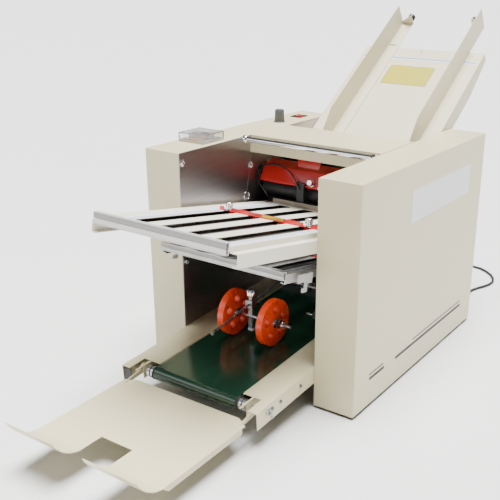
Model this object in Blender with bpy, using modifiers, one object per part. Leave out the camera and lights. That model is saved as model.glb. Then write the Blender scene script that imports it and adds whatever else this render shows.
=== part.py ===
"""Desk paper folding machine with four buckle fold plates.

Units are metres, +Z is up, +Y points to the feed table at the back and -Y to the exit tray.
Inside the script every place is counted from the front face of the housings, midway between
them, at desk level. One empty then carries the whole machine to its origin, which is the
middle of its footprint.
"""
import math

import bmesh
import bpy
from mathutils import Matrix, Vector

# Running and seating clearances
seat_gap = 0.0003
run_gap = 0.0005
cut_over = 0.004
weld_reach = 0.00002

# Housings
overall_width = 0.520
housing_thickness = 0.092
housing_depth = 0.594
housing_back = 0.594
housing_height = 0.4717
ground_gap = 0.006
shell = 0.0015
housing_round = 0.0025

# Places and widths in the bay between the side frames, as shares of half the bay, so that
# all of them follow the width of the machine
share = {
    "left_guide_x": -0.636905, "right_guide_x": 0.755952, "grid_half": 0.90119,
    "lower_half": 0.892857, "rear_half": 0.940476, "slot_pitch": 0.370238, "slot_first_x": -0.454167,
    "clamp_left_x": -0.5, "clamp_right_x": 0.673214,
    "mouth_lip_half": 0.77381, "hook_reach": 0.964286, "stop_left_x": -0.625,
    "stop_right_x": 0.892857, "guard_half": 0.952381, "sensor_x": -0.261905, "belt_half": 0.610119,
    "rail_inner": 0.625, "notch_half": 0.875, "ear_x": 0.770833, "sleeve_reach": 0.729167,
    "tray_half": 0.904762, "tray_notch_half": 0.223214, "tray_notch_x": -0.008929,
    "arm_x": 0.846429, "wheel_left_x": -0.345238, "wheel_right_x": 0.244048,
    "wheel_axle_left": -0.577381, "wheel_axle_right": 0.517857, "carriage_x": -0.083333,
    "motor_length": 0.982143,
}
bay_half = overall_width / 2 - housing_thickness

# Side frames
frame_thickness = 0.006
frame_flange = 0.062
frame_flange_thickness = 0.004
foot_radius = 0.014
foot_waist = 0.012
foot_height = 0.0117
foot_inset = 0.040
foot_side_inset = 0.046
foot_spread = overall_width / 2 - foot_side_inset

# Tie rod and top cover
tie_radius = 0.006
tie_y = 0.222
cover_front_y = 0.244
cover_bend_y = 0.394
cover_back_y = 0.454
cover_fall = 0.0150
cover_flange = 0.039
cover_sheet = 0.0015
hinge_radius = 0.005
hinge_drop = 0.012
hinge_bite = 0.0006

# Feed table
table_slope = math.radians(33.8)
table_line_y = 0.5385
table_line_z = 0.4731
table_low = -0.2490
table_high = 0.297
table_sheet = 0.0015
skirt_top = 0.0207
skirt_deep = 0.040
skirt_taper = 0.116
skirt_low_rise = 0.060

# Side guides
guide_height = 0.057
guide_sheet = 0.0018
guide_flange = 0.032
guide_end = 0.400
guide_shoulder_s = -0.014
guide_bend_s = -0.077
guide_bend_n = 0.033
guide_nose_s = -0.100
guide_nose_n = 0.022
left_guide_x = share["left_guide_x"] * bay_half
right_guide_x = share["right_guide_x"] * bay_half
guide_hook_width = 0.026
guide_hook_drop = 0.026
guide_hook_lip = 0.010
guide_tab_low = 0.008
guide_tab_high = 0.026
guide_knob_inset = 0.026
guide_knob_rise = 0.014
guide_knob_radius = 0.0095
guide_knob_height = 0.009
guide_knob_neck = 0.005
guide_knob_lift = 0.004
guide_knob_round = 0.0015

# Fold rollers, stacked in two staggered columns
roller_radius = 0.020
roller_pitch = 0.0365
roller_front_y = 0.305
roller_stagger = 0.0178
roller_count = 6
roller_top_z = 0.3495
roller_low_z = roller_top_z - (roller_count - 1) * roller_pitch
roller_end_gap = 0.006
journal_radius = 0.007
gear_teeth = 20
gear_width = 0.010
gear_seat = 0.004

# Feed roller and separator pad
feed_s = -0.1668
feed_radius = 0.022
feed_half_width = 0.030
feed_shaft_end = 0.020
pad_width = 0.034
pad_length = 0.026
pad_proud = 0.0010
pad_foot = 0.006
pad_foot_height = 0.005

# Fold plates
grid_half = share["grid_half"] * bay_half
lower_half = share["lower_half"] * bay_half
rear_half = share["rear_half"] * bay_half
grid_sheet = 0.0020
paper_gap = 0.0050
back_sheet = 0.0015
plate_wall = 0.0020
rail_lip = 0.010
channel_height = 0.0185
channel_rise = 0.006
lower_channel_height = 0.0127
lower_channel_rise = 0.0035
channel_lip = 0.006
channel_sheet = 0.0018
slot_width = 0.031
back_slot_width = 0.015
slot_pitch = share["slot_pitch"] * bay_half
slot_first_x = share["slot_first_x"] * bay_half
slot_count = 4
slot_margin = 0.0274
slot_end_margin = 0.022
plate_bite = 0.0006
upper_slope = math.radians(-10)
upper_mouth_gap = 0.023719
upper_mouth_rise = 0.004056
upper_mouth_y = roller_front_y - upper_mouth_gap
upper_mouth_z = roller_top_z - roller_pitch + upper_mouth_rise
upper_length = 0.5334
upper_front_y = upper_mouth_y - upper_length * math.cos(upper_slope)
upper_front_z = upper_mouth_z - upper_length * math.sin(upper_slope)
upper_rail_drop = 0.035
rail_start = 0.006
flange_drop = 0.0100
rail_stop = 0.041
rail_end = upper_length - rail_stop
mouth_lip_half = share["mouth_lip_half"] * bay_half
mouth_lip_rise = 0.010
mouth_lip_sheet = 0.002
lower_mouth_gap = 0.023030
lower_mouth_rise = 0.004792
lower_mouth_y = roller_front_y - lower_mouth_gap
lower_mouth_z = roller_top_z - 3 * roller_pitch + lower_mouth_rise
lower_length = 0.364
lower_front_y = lower_mouth_y - lower_length * math.cos(upper_slope)
lower_front_z = lower_mouth_z - lower_length * math.sin(upper_slope)
lower_rail_drop = 0.018
lower_rail_stop = 0.034
lower_rail_end = lower_length - lower_rail_stop
rear_slope = math.radians(10)
rear_mouth_gap = 0.0152
rear_mouth_y = roller_front_y + roller_stagger + rear_mouth_gap
rear_length = 0.386
rear_rail_start = 0.036
hook_start = 0.026
hook_length = 0.050
hook_height = 0.036
hook_tip = 0.016
hook_reach = share["hook_reach"] * bay_half
hook_sheet = 0.003
boss_height = 0.012
boss_lift = 0.003
boss_length = 0.120
lower_boss_back = 0.254
lower_boss_s = lower_length - lower_boss_back
rear_boss_s = 0.080

# Stop bars and their clamp knobs
stop_left_x = share["stop_left_x"] * bay_half
stop_right_x = share["stop_right_x"] * bay_half
clamp_left_x = share["clamp_left_x"] * bay_half
clamp_right_x = share["clamp_right_x"] * bay_half
stop_depth = 0.012
stop_sheet = 0.0020
finger_width = 0.010
finger_depth = 0.006
finger_clear = 0.0012
upper_stop_s = 0.3044
lower_stop_s = 0.200
stop_knob_radius = 0.0075
stop_knob_height = 0.012
stop_knob_neck = 0.0045
stop_knob_lift = 0.004
stop_knob_round = 0.0010

# Guard over the first roller, and the sheet sensor
guard_half = share["guard_half"] * bay_half
guard_sheet = 0.0015
guard_low_ahead = 0.033
guard_low_rise = 0.0165
guard_low_y = roller_front_y - guard_low_ahead
guard_low_z = roller_top_z + guard_low_rise
guard_curl = 0.008
guard_high_ahead = 0.0155
guard_high_rise = 0.053
guard_high_y = roller_front_y - guard_high_ahead
guard_high_z = roller_top_z + guard_high_rise
guard_back_behind = 0.017
guard_back_rise = 0.0625
guard_back_y = roller_front_y + guard_back_behind
guard_back_z = roller_top_z + guard_back_rise
guard_bar_radius = 0.004
guard_bar_bite = 0.0008
sensor_x = share["sensor_x"] * bay_half
sensor_width = 0.019
sensor_depth = 0.008
sensor_height = 0.038
sensor_foot = 0.014
sensor_foot_height = 0.004

# Delivery conveyor
conveyor_slope = math.atan(0.06)
conveyor_y = -0.1610
conveyor_z = 0.0808
belt_half = share["belt_half"] * bay_half
belt_sheet = 0.0012
belt_turn = 0.0140
conveyor_front = -0.0325
conveyor_back = 0.521
rear_roller_s = 0.500
rail_top = 0.0010
rail_drop = 0.036
rail_sheet = 0.0015
rail_inner = share["rail_inner"] * bay_half
bed_drop = 0.0016
notch_half = share["notch_half"] * bay_half
notch_s = 0.011
bed_start = 0.017
ear_x = share["ear_x"] * bay_half
ear_sheet = 0.002
ear_front = 0.013
ear_back = 0.034
ear_drop = 0.028
axle_radius = 0.005
sleeve_radius = 0.0115
sleeve_reach = share["sleeve_reach"] * bay_half
axle_proud = 0.006

# Exit tray
tray_half = share["tray_half"] * bay_half
tray_sheet = 0.0015
tray_back = 0.0320
tray_drop = 0.0095
tray_flat_end = 0.2640
tray_fall = 0.0043
lip_length = 0.0756
lip_first = math.radians(14)
lip_last = math.radians(62)
lip_steps = 7
tray_flange = 0.012
tray_flange_start = 0.056
tray_notch_half = share["tray_notch_half"] * bay_half
tray_notch_x = share["tray_notch_x"] * bay_half
tray_notch_start = 0.2130
tray_corner_x = 0.025
tray_corner_y = 0.018
arm_x = share["arm_x"] * bay_half
arm_sheet = 0.0025
arm_radius = 0.010
arm_reach = 0.060

# Press wheels on the belt
wheel_radius = 0.050
wheel_width = 0.015
wheel_y = 0.036
wheel_left_x = share["wheel_left_x"] * bay_half
wheel_right_x = share["wheel_right_x"] * bay_half
wheel_hole_radius = 0.0095
wheel_hole_circle = 0.029
wheel_holes = 5
wheel_axle_radius = 0.004
wheel_axle_left = share["wheel_axle_left"] * bay_half
wheel_axle_right = share["wheel_axle_right"] * bay_half
wheel_collar = 0.007
wheel_collar_width = 0.005
carriage_x = share["carriage_x"] * bay_half
carriage_bar_width = 0.010
carriage_bar_depth = 0.006
carriage_drop = 0.033
clamp_size = 0.017
clamp_screw_radius = 0.0065
clamp_screw_height = 0.022
rod_radius = 0.0025
rod_slope = math.radians(8.8)
rod_front_y = -0.095
rod_back_y = 0.150
rod_rise = 0.0290
rod_cap_radius = 0.004
rod_cap_length = 0.006
rod_bar_radius = 0.005

# Motor and belt drive
motor_radius = 0.044
motor_length = share["motor_length"] * bay_half
motor_y = 0.480
motor_z = 0.090
motor_boss_radius = 0.011
motor_face = 0.006
motor_face_radius = 0.036
pulley_radius = 0.016
pulley_width = 0.014
pulley_flange = 0.0025
pulley_flange_width = 0.0015
pulley_stand = 0.004
roller_pulley_radius = 0.030
drive_belt_sheet = 0.0018
drive_belt_width = 0.010

# Panel across the back
panel_y = 0.588
panel_low = 0.016
panel_high = 0.206
panel_sheet = 0.0015
panel_flange = 0.014

# Controls on the left housing
knob_inset = 0.055
knob_x = knob_inset - overall_width / 2
knob_y = 0.415
knob_radius = 0.0110
knob_top_radius = 0.0100
knob_skirt_radius = 0.0135
knob_skirt = 0.004
knob_height = 0.031
switch_inset = 0.049
switch_x = switch_inset - overall_width / 2
switch_y = 0.512
switch_width = 0.020
switch_length = 0.027
switch_depth = 0.009
switch_proud = 0.0045
switch_swing_gap = 0.0012
counter_side_inset = 0.046
counter_x = counter_side_inset - overall_width / 2
counter_inset = 0.128
counter_y = housing_back - housing_depth + counter_inset
counter_size = 0.070
counter_plate = 0.004
counter_block_x = 0.046
counter_block_y = 0.030
counter_block_height = 0.010
counter_lid_height = 0.015
counter_wall = 0.002

# Mains cord
cord_radius = 0.0035
cord_step = 0.018
relief_inset = 0.055
relief_x = overall_width / 2 - relief_inset
relief_z = 0.085
relief_neck = 0.0060
relief_flange = 0.0105
relief_flange_width = 0.004
relief_length = 0.034
relief_tip = 0.0050
relief_inside = 0.010
coil_offset = -0.175
coil_x = relief_x + coil_offset
coil_y = 0.780
coil_mid_radius = 0.042
coil_turns = 4.5
coil_layers = 2
coil_gap = 0.0007
coil_turn_points = 24
tail_length = 0.060
tail_points = 6
plug_length = 0.036
plug_radius = 0.0165
plug_nose = 0.006
plug_pin_radius = 0.0024
plug_pin_length = 0.019
plug_pin_spread = 0.0095
# The free stretch lies where the photograph shows it. Its points were chosen by hand and are
# counted from the strain relief across, from the datum along, and from the desk up
cord_points = [
    (0.0000, 0.6460, 0.0836), (-0.0002, 0.6570, 0.0770),
    (-0.0006, 0.6690, 0.0610), (-0.0012, 0.6790, 0.0420), (-0.0020, 0.6890, 0.0230),
    (-0.0030, 0.7020, 0.0095), (-0.0045, 0.7190, 0.0043), (-0.0065, 0.7380, 0.0037),
    (-0.0085, 0.7580, 0.0037), (-0.0075, 0.7800, 0.0037), (-0.0010, 0.8020, 0.0037),
    (0.0085, 0.8230, 0.0037), (0.0160, 0.8470, 0.0037), (0.0170, 0.8730, 0.0037),
    (0.0080, 0.8990, 0.0037), (-0.0070, 0.9220, 0.0037), (-0.0270, 0.9410, 0.0037),
    (-0.0510, 0.9560, 0.0037), (-0.0770, 0.9610, 0.0037), (-0.1010, 0.9530, 0.0037),
    (-0.1170, 0.9350, 0.0037), (-0.1235, 0.9110, 0.0037), (-0.1242, 0.8850, 0.0037),
    (-0.1242, 0.8600, 0.0037), (-0.1242, 0.8350, 0.0037),
]

# Counts of flats on round pieces
round_steps = 24
shaft_steps = 16
hole_steps = 16
small_steps = 12
belt_steps = 10

# Shares of the sizes that they follow
gear_tip_share = 0.30
gear_root_share = 0.56
gear_addendum_share = 0.80
gear_dedendum_share = 1.15
rocker_dip_share = 0.35

# Sizes worked out from the ones above
outer_x = overall_width / 2
inner_x = bay_half
housing_front = housing_back - housing_depth
housing_top = ground_gap + housing_height
frame_outer_x = inner_x + frame_thickness
span_x = inner_x - seat_gap
roller_rear_y = roller_front_y + roller_stagger
plate_stack = grid_sheet + paper_gap + back_sheet
gear_radius = math.hypot(roller_stagger, roller_pitch) / 2
gear_module = 2 * gear_radius / gear_teeth
wheel_z = (conveyor_z + (wheel_y - conveyor_y) * math.tan(conveyor_slope)
           + (wheel_radius + run_gap) / math.cos(conveyor_slope))


# Scene, materials and frames
def clear_scene():
    for old in list(bpy.data.objects):
        bpy.data.objects.remove(old, do_unlink=True)


def new_collection(name):
    group = bpy.data.collections.new(name)
    bpy.context.scene.collection.children.link(group)
    return group


def finish_material(name, colour, roughness, metallic):
    mat = bpy.data.materials.new(name)
    mat.use_nodes = True
    shader = mat.node_tree.nodes["Principled BSDF"]
    shader.inputs["Base Color"].default_value = (*colour, 1.0)
    shader.inputs["Roughness"].default_value = roughness
    shader.inputs["Metallic"].default_value = metallic
    mat.diffuse_color = (*colour, 1.0)
    return mat


clear_scene()
machine_parts = new_collection("paper_folding_machine")
cutters = new_collection("cutters")

cream = finish_material("cream_powder_coat", (0.76, 0.74, 0.66), 0.45, 0.0)
steel = finish_material("plated_steel", (0.62, 0.60, 0.60), 0.35, 0.9)
chrome = finish_material("polished_chrome", (0.85, 0.85, 0.86), 0.12, 1.0)
aluminium = finish_material("satin_aluminium", (0.74, 0.75, 0.76), 0.38, 0.95)
black_rubber = finish_material("black_rubber", (0.025, 0.025, 0.027), 0.75, 0.0)
black_paint = finish_material("black_paint", (0.03, 0.03, 0.035), 0.5, 0.0)
belt_green = finish_material("green_belt", (0.02, 0.10, 0.05), 0.28, 0.0)
wheel_orange = finish_material("orange_moulding", (0.90, 0.16, 0.03), 0.40, 0.0)
guard_red = finish_material("red_lacquer", (0.62, 0.03, 0.03), 0.30, 0.0)
grey_plastic = finish_material("grey_plastic", (0.33, 0.34, 0.34), 0.50, 0.0)
clear_plastic = finish_material("clear_plastic", (0.86, 0.87, 0.86), 0.10, 0.0)


def frame_at(name, place, tilt=0.0, parent=None):
    """An empty whose Y runs along a sloping piece and whose Z stands off it."""
    empty = bpy.data.objects.new(name, None)
    machine_parts.objects.link(empty)
    empty.location = place
    empty.rotation_euler = (tilt, 0.0, 0.0)
    empty.parent = parent
    return empty


def adopt(shape, parent, place=(0.0, 0.0, 0.0), turn=(0.0, 0.0, 0.0)):
    shape.parent = parent
    shape.location = place
    shape.rotation_euler = turn
    return shape


# Builders for the basic shapes; each returns a mesh object
def link_mesh(name, mesh, mat):
    shape = bpy.data.objects.new(name, mesh)
    machine_parts.objects.link(shape)
    if mat is not None:
        mesh.materials.clear()
        mesh.materials.append(mat)
    return shape


def freeze(source, name, mat):
    """Turn an evaluated curve or a shape with modifiers into one welded mesh."""
    graph = bpy.context.evaluated_depsgraph_get()
    mesh = bpy.data.meshes.new_from_object(source.evaluated_get(graph))
    work = bmesh.new()
    work.from_mesh(mesh)
    bmesh.ops.remove_doubles(work, verts=work.verts, dist=weld_reach)
    bmesh.ops.recalc_face_normals(work, faces=work.faces)
    work.to_mesh(mesh)
    work.free()
    bpy.data.objects.remove(source, do_unlink=True)
    mesh.name = name
    return link_mesh(name, mesh, mat)


def move_mesh(shape, matrix):
    shape.data.transform(matrix)
    return shape


along_x = Matrix(((0, 0, 1, 0), (1, 0, 0, 0), (0, 1, 0, 0), (0, 0, 0, 1)))
along_y = Matrix(((1, 0, 0, 0), (0, 0, -1, 0), (0, 1, 0, 0), (0, 0, 0, 1)))
along_z = Matrix.Identity(4)


def extrude(name, outlines, depth, mat, way=along_x, centre=(0.0, 0.0, 0.0)):
    """Extrude closed outlines, the inner ones as holes, by depth about their middle."""
    curve = bpy.data.curves.new(name, "CURVE")
    curve.dimensions = "2D"
    curve.fill_mode = "BOTH"
    curve.extrude = depth / 2
    for outline in outlines:
        spline = curve.splines.new("POLY")
        spline.points.add(len(outline) - 1)
        for point, (u, v) in zip(spline.points, outline):
            point.co = (u, v, 0.0, 1.0)
        spline.use_cyclic_u = True
    source = bpy.data.objects.new(name + "_outline", curve)
    machine_parts.objects.link(source)
    shape = freeze(source, name, mat)
    return move_mesh(shape, Matrix.Translation(centre) @ way)


def box(name, low, high, mat):
    work = bmesh.new()
    bmesh.ops.create_cube(work, size=1.0)
    size = [b - a for a, b in zip(low, high)]
    middle = [(a + b) / 2 for a, b in zip(low, high)]
    bmesh.ops.transform(work, verts=work.verts,
                        matrix=Matrix.Translation(middle) @ Matrix.Diagonal((*size, 1.0)))
    mesh = bpy.data.meshes.new(name)
    work.to_mesh(mesh)
    work.free()
    return link_mesh(name, mesh, mat)


def round_edges(shape, radius, steps, wanted):
    """Round the edges whose two ends both satisfy wanted."""
    work = bmesh.new()
    work.from_mesh(shape.data)
    edges = [e for e in work.edges if wanted(e.verts[0].co) and wanted(e.verts[1].co)]
    bmesh.ops.bevel(work, geom=edges, offset=radius, segments=steps, affect="EDGES",
                    profile=0.5)
    work.to_mesh(shape.data)
    work.free()
    return shape


def turned(name, profile, steps, mat, way="x", centre=(0.0, 0.0, 0.0)):
    """Turn (place, radius) pairs about an axis; the profile runs from far to near."""
    mesh = bpy.data.meshes.new(name + "_profile")
    points = [(radius, 0.0, place) for place, radius in profile]
    mesh.from_pydata(points, [(i, i + 1) for i in range(len(points) - 1)], [])
    source = bpy.data.objects.new(name + "_profile", mesh)
    machine_parts.objects.link(source)
    screw = source.modifiers.new("turn", "SCREW")
    screw.steps = steps
    screw.render_steps = steps
    screw.use_merge_vertices = True
    screw.merge_threshold = weld_reach
    shape = freeze(source, name, mat)
    shape.data.shade_smooth()
    shape.data.set_sharp_from_angle(angle=math.radians(35))
    spin = Matrix.Identity(4)
    if way == "x":
        spin = Matrix.Rotation(math.pi / 2, 4, "Y")
    return move_mesh(shape, Matrix.Translation(centre) @ spin)


def cylinder(name, radius, low, high, steps, mat, way="x", centre=(0.0, 0.0, 0.0)):
    return turned(name, [(high, 0.0), (high, radius), (low, radius), (low, 0.0)], steps,
                  mat, way, centre)


def tube(name, points, radius, rings, mat):
    curve = bpy.data.curves.new(name, "CURVE")
    curve.dimensions = "3D"
    curve.bevel_depth = radius
    curve.bevel_resolution = rings
    curve.use_fill_caps = True
    spline = curve.splines.new("POLY")
    spline.points.add(len(points) - 1)
    for point, place in zip(spline.points, points):
        point.co = (*place, 1.0)
    source = bpy.data.objects.new(name + "_line", curve)
    machine_parts.objects.link(source)
    shape = freeze(source, name, mat)
    shape.data.shade_smooth()
    shape.data.set_sharp_from_angle(angle=math.radians(60))
    return shape


def boolean(shape, other, operation):
    for group in list(other.users_collection):
        group.objects.unlink(other)
    cutters.objects.link(other)
    other.hide_render = True
    other.display_type = "WIRE"
    other.parent = shape
    tool = shape.modifiers.new(other.name, "BOOLEAN")
    tool.operation = operation
    tool.solver = "EXACT"
    tool.object = other
    return shape


def cut(shape, *others):
    for other in others:
        boolean(shape, other, "DIFFERENCE")
    return shape


def fuse(shape, *others):
    for other in others:
        boolean(shape, other, "UNION")
    return shape


# Outlines
def circle(u, v, radius, steps, start=0.0):
    angles = [start + 2 * math.pi * i / steps for i in range(steps)]
    return [(u + radius * math.cos(a), v + radius * math.sin(a)) for a in angles]


def rectangle(low_u, low_v, high_u, high_v):
    return [(low_u, low_v), (high_u, low_v), (high_u, high_v), (low_u, high_v)]


def sheet(points, thickness):
    """Close an open line into the outline of a sheet lying on its right-hand side."""
    line = [Vector(p) for p in points]
    offset = []
    for i, here in enumerate(line):
        before = (here - line[i - 1]).normalized() if i > 0 else None
        after = (line[i + 1] - here).normalized() if i < len(line) - 1 else None
        before = before or after
        after = after or before
        side_a = Vector((before.y, -before.x))
        side_b = Vector((after.y, -after.x))
        middle = (side_a + side_b).normalized()
        offset.append(here + middle * (thickness / middle.dot(side_a)))
    return [tuple(p) for p in line] + [tuple(p) for p in reversed(offset)]


def belt_loop(circles, steps):
    """The taut loop round circles given as (y, z, radius), as their common hull."""
    points = []
    for u, v, radius in circles:
        points += circle(u, v, radius, steps * 4)
    points = sorted(set((round(u, 7), round(v, 7)) for u, v in points))

    def half(side):
        chain = []
        for p in side:
            while len(chain) > 1:
                a, b = chain[-2], chain[-1]
                if (b[0] - a[0]) * (p[1] - a[1]) - (b[1] - a[1]) * (p[0] - a[0]) > 0:
                    break
                chain.pop()
            chain.append(p)
        return chain[:-1]

    return half(points) + half(points[::-1])


def gear_outline(radius, phase):
    """Straight-sided teeth, a tooth centred on the phase angle."""
    tooth = 2 * math.pi / gear_teeth
    tip = radius + gear_addendum_share * gear_module
    root = radius - gear_dedendum_share * gear_module
    shape = []
    for i in range(gear_teeth):
        middle = phase + i * tooth
        for reach, share in ((root, -gear_root_share), (tip, -gear_tip_share),
                             (tip, gear_tip_share), (root, gear_root_share)):
            angle = middle + share * tooth / 2
            shape.append((reach * math.cos(angle), reach * math.sin(angle)))
    return shape


# The whole machine hangs on one empty, so that its origin is the middle of its footprint
def roller_axis(index):
    """Axis of fold roller number index, counted down from the top, as (y, z)."""
    y = roller_front_y if index % 2 == 1 else roller_rear_y
    return y, roller_low_z + (roller_count - index) * roller_pitch


def lip_points(y, z):
    points = [(y, z)]
    for i in range(lip_steps):
        angle = lip_first + (lip_last - lip_first) * i / (lip_steps - 1)
        y -= lip_length / lip_steps * math.cos(angle)
        z += lip_length / lip_steps * math.sin(angle)
        points.append((y, z))
    return points


front_axle_y = conveyor_y + belt_turn * math.sin(conveyor_slope)
front_axle_z = conveyor_z - belt_turn * math.cos(conveyor_slope)
rear_axle_y = (conveyor_y + rear_roller_s * math.cos(conveyor_slope)
               + belt_turn * math.sin(conveyor_slope))
rear_axle_z = (conveyor_z + rear_roller_s * math.sin(conveyor_slope)
               - belt_turn * math.cos(conveyor_slope))
lip_line = lip_points(-tray_flat_end, -tray_drop - tray_fall)
front_reach = front_axle_y + lip_line[-1][0]
coil_outer = coil_mid_radius + (2 * cord_radius + coil_gap) * coil_turns / coil_layers / 2
knob_end = guide_end + seat_gap + guide_knob_lift + guide_knob_height
knob_side = seat_gap + guide_knob_rise - guide_knob_radius
back_reach = (table_line_y + knob_end * math.cos(table_slope)
              - knob_side * math.sin(table_slope))

machine = frame_at("machine_origin", (0.0, -(front_reach + back_reach) / 2, 0.0))


# Housings and side frames
def build_housing(name, side):
    low = (min(side * inner_x, side * outer_x), housing_front, ground_gap)
    high = (max(side * inner_x, side * outer_x), housing_back, housing_top)
    shell_box = box(name, low, high, cream)
    inner = side * inner_x
    round_edges(shell_box, housing_round, 2,
                lambda p: abs(p.x - inner) > housing_round or p.z > housing_top - shell)
    hollow_x = sorted((side * (inner_x - cut_over), side * (outer_x - shell)))
    hollow = box(name + "_hollow", (hollow_x[0], housing_front + shell, ground_gap - cut_over),
                 (hollow_x[1], housing_back - shell, housing_top - shell), None)
    cut(shell_box, hollow)
    return adopt(shell_box, machine)


def shaft_holes(side):
    """Holes in a side frame as (y, z, radius)."""
    holes = [(*roller_axis(i), journal_radius + seat_gap) for i in range(1, roller_count + 1)]
    holes.append((*feed_axis(), journal_radius + seat_gap))
    holes.append((cover_hinge_y, cover_hinge_z, hinge_radius + seat_gap))
    holes.append((rear_axle_y, rear_axle_z, axle_radius + seat_gap))
    if side < 0:
        holes.append((motor_y, motor_z, motor_boss_radius + seat_gap))
    return holes


def feed_axis():
    reach = feed_radius + pad_proud + run_gap
    y = table_line_y + feed_s * math.cos(table_slope) - reach * math.sin(table_slope)
    z = table_line_z + feed_s * math.sin(table_slope) + reach * math.cos(table_slope)
    return y, z


cover_hinge_y = cover_front_y + cover_sheet + hinge_radius - hinge_bite
cover_hinge_z = housing_top - hinge_drop


def plate_boss(name, side, half, y, z, slope, start, drop):
    """A block on the side frame that carries the side of one fold plate."""
    xs = sorted((side * (half + seat_gap), side * (inner_x + frame_thickness / 2)))
    low = -drop + boss_lift
    block = box(name, (xs[0], start, low), (xs[1], start + boss_length, low + boss_height),
                None)
    return move_mesh(block, Matrix.Translation((0.0, y, z)) @ Matrix.Rotation(slope, 4, "X"))


def build_frame(name, side):
    edge = shell + seat_gap
    outline = rectangle(housing_front + edge, ground_gap, housing_back - edge,
                        housing_top - edge)
    holes = [circle(y, z, r, hole_steps) for y, z, r in shaft_holes(side)]
    wall = extrude(name, [outline] + holes, frame_thickness, steel,
                   centre=(side * (inner_x + frame_thickness / 2), 0.0, 0.0))
    near = inner_x + frame_thickness / 2
    far = inner_x + frame_flange
    xs = sorted((side * near, side * far))
    foot_plate = box(name + "_foot_flange", (xs[0], housing_front + edge + shell,
                                           foot_height + seat_gap),
                     (xs[1], housing_back - edge - shell,
                      foot_height + seat_gap + frame_flange_thickness), None)
    fuse(wall, foot_plate)
    fuse(wall, plate_boss(name + "_lower_boss", side, lower_half, lower_front_y,
                          lower_front_z, upper_slope, lower_boss_s, lower_rail_drop))
    for above in (2, 4):
        fuse(wall, plate_boss("%s_rear_boss_%d" % (name, above), side, rear_half,
                              rear_mouth_y, rear_plate_z(above), rear_slope, rear_boss_s,
                              lower_rail_drop))
    return adopt(wall, machine)


def build_foot(name, side, y):
    foot = turned(name, [(foot_height, 0.0), (foot_height, foot_waist), (0.0, foot_radius),
                         (0.0, 0.0)], round_steps, black_rubber, "z")
    return adopt(foot, machine, (side * foot_spread, y, 0.0))


def build_tie_rod():
    rod = cylinder("front_tie_rod", tie_radius, -span_x, span_x, round_steps, chrome)
    return adopt(rod, machine, (0.0, tie_y, housing_top - tie_radius - seat_gap))


def build_cover():
    y0 = cover_front_y - cover_hinge_y
    top = housing_top - cover_hinge_z
    line = [(y0, top - cover_flange), (y0, top), (cover_bend_y - cover_hinge_y, top),
            (cover_back_y - cover_hinge_y, top - cover_fall)]
    cover = extrude("top_cover", [sheet(line, cover_sheet)], 2 * span_x, cream)
    bar = cylinder("cover_hinge_bar", hinge_radius, -frame_outer_x, frame_outer_x,
                   shaft_steps, None)
    fuse(cover, bar)
    pivot = frame_at("cover_pivot", (0.0, cover_hinge_y, cover_hinge_z), 0.0, machine)
    return adopt(cover, pivot)


# Feed table and its guides
def build_table():
    low, high = table_low, table_high
    taper = high - skirt_taper
    under = -skirt_deep
    skirt_back = low + skirt_low_rise
    profile = [(low, 0.0), (high, 0.0), (high, -skirt_top), (taper, under),
               (skirt_back, under), (low, -skirt_top / 2)]
    table = extrude("feed_table", [profile], 2 * span_x, cream)
    inside = [(low - cut_over, -table_sheet), (high - table_sheet, -table_sheet),
              (high - table_sheet, under - cut_over), (low - cut_over, under - cut_over)]
    hollow = extrude("table_hollow", [inside], 2 * (span_x - table_sheet), None)
    half_width = pad_width / 2
    half_length = pad_length / 2
    window = box("pad_window", (-half_width - seat_gap, feed_s - half_length - seat_gap,
                                -table_sheet - cut_over),
                 (half_width + seat_gap, feed_s + half_length + seat_gap, cut_over), None)
    cut(table, hollow, window)
    return adopt(table, table_frame)


def build_guide(name, side, x):
    """side is +1 for a guide whose flange runs towards +X."""
    pivot = frame_at(name + "_slide", (x, 0.0, seat_gap), 0.0, table_frame)
    profile = [(guide_nose_s, 0.0), (guide_end, 0.0), (guide_end, guide_height),
               (guide_shoulder_s, guide_height), (guide_bend_s, guide_bend_n),
               (guide_nose_s, guide_nose_n)]
    wall = extrude(name, [profile], guide_sheet, cream)
    xs = sorted((0.0, side * guide_flange))
    flange = box(name + "_flange", (xs[0], guide_nose_s, 0.0), (xs[1], guide_end, guide_sheet),
                 None)
    start = table_high + seat_gap
    low = -guide_hook_drop
    line = [(start, guide_sheet / 2), (start, low + guide_sheet),
            (start - guide_hook_lip, low + guide_sheet)]
    hook_x = side * (guide_flange - guide_hook_width / 2 - guide_sheet)
    hook = extrude(name + "_hook", [sheet(line, -guide_sheet)], guide_hook_width, None,
                   centre=(hook_x, 0.0, 0.0))
    far = side * guide_flange
    near = side * guide_sheet / 2
    tab_outline = [(0.0, guide_sheet / 2), (far, guide_sheet / 2), (far, guide_tab_high),
                   (far - side * guide_knob_radius / 2, guide_tab_high), (near, guide_tab_low),
                   (0.0, guide_tab_low)]
    tab = extrude(name + "_tab", [tab_outline], guide_sheet, None, way=along_y,
                  centre=(0.0, guide_end - guide_sheet / 2, 0.0))
    fuse(wall, flange, hook, tab)
    adopt(wall, pivot)
    knob_axis = frame_at(name + "_knob_axis",
                         (side * guide_knob_inset, guide_end + seat_gap, guide_knob_rise), 0.0,
                         pivot)
    lift = guide_knob_lift
    top = lift + guide_knob_height
    knob = turned(name.replace("side_guide", "guide_knob"),
                  [(top, 0.0), (top, guide_knob_radius - guide_knob_round),
                   (top - guide_knob_round, guide_knob_radius), (lift, guide_knob_radius),
                   (lift, guide_knob_neck), (0.0, guide_knob_neck), (0.0, 0.0)],
                  shaft_steps, chrome, "z")
    move_mesh(knob, Matrix.Rotation(-math.pi / 2, 4, "X"))
    adopt(knob, knob_axis)


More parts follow.
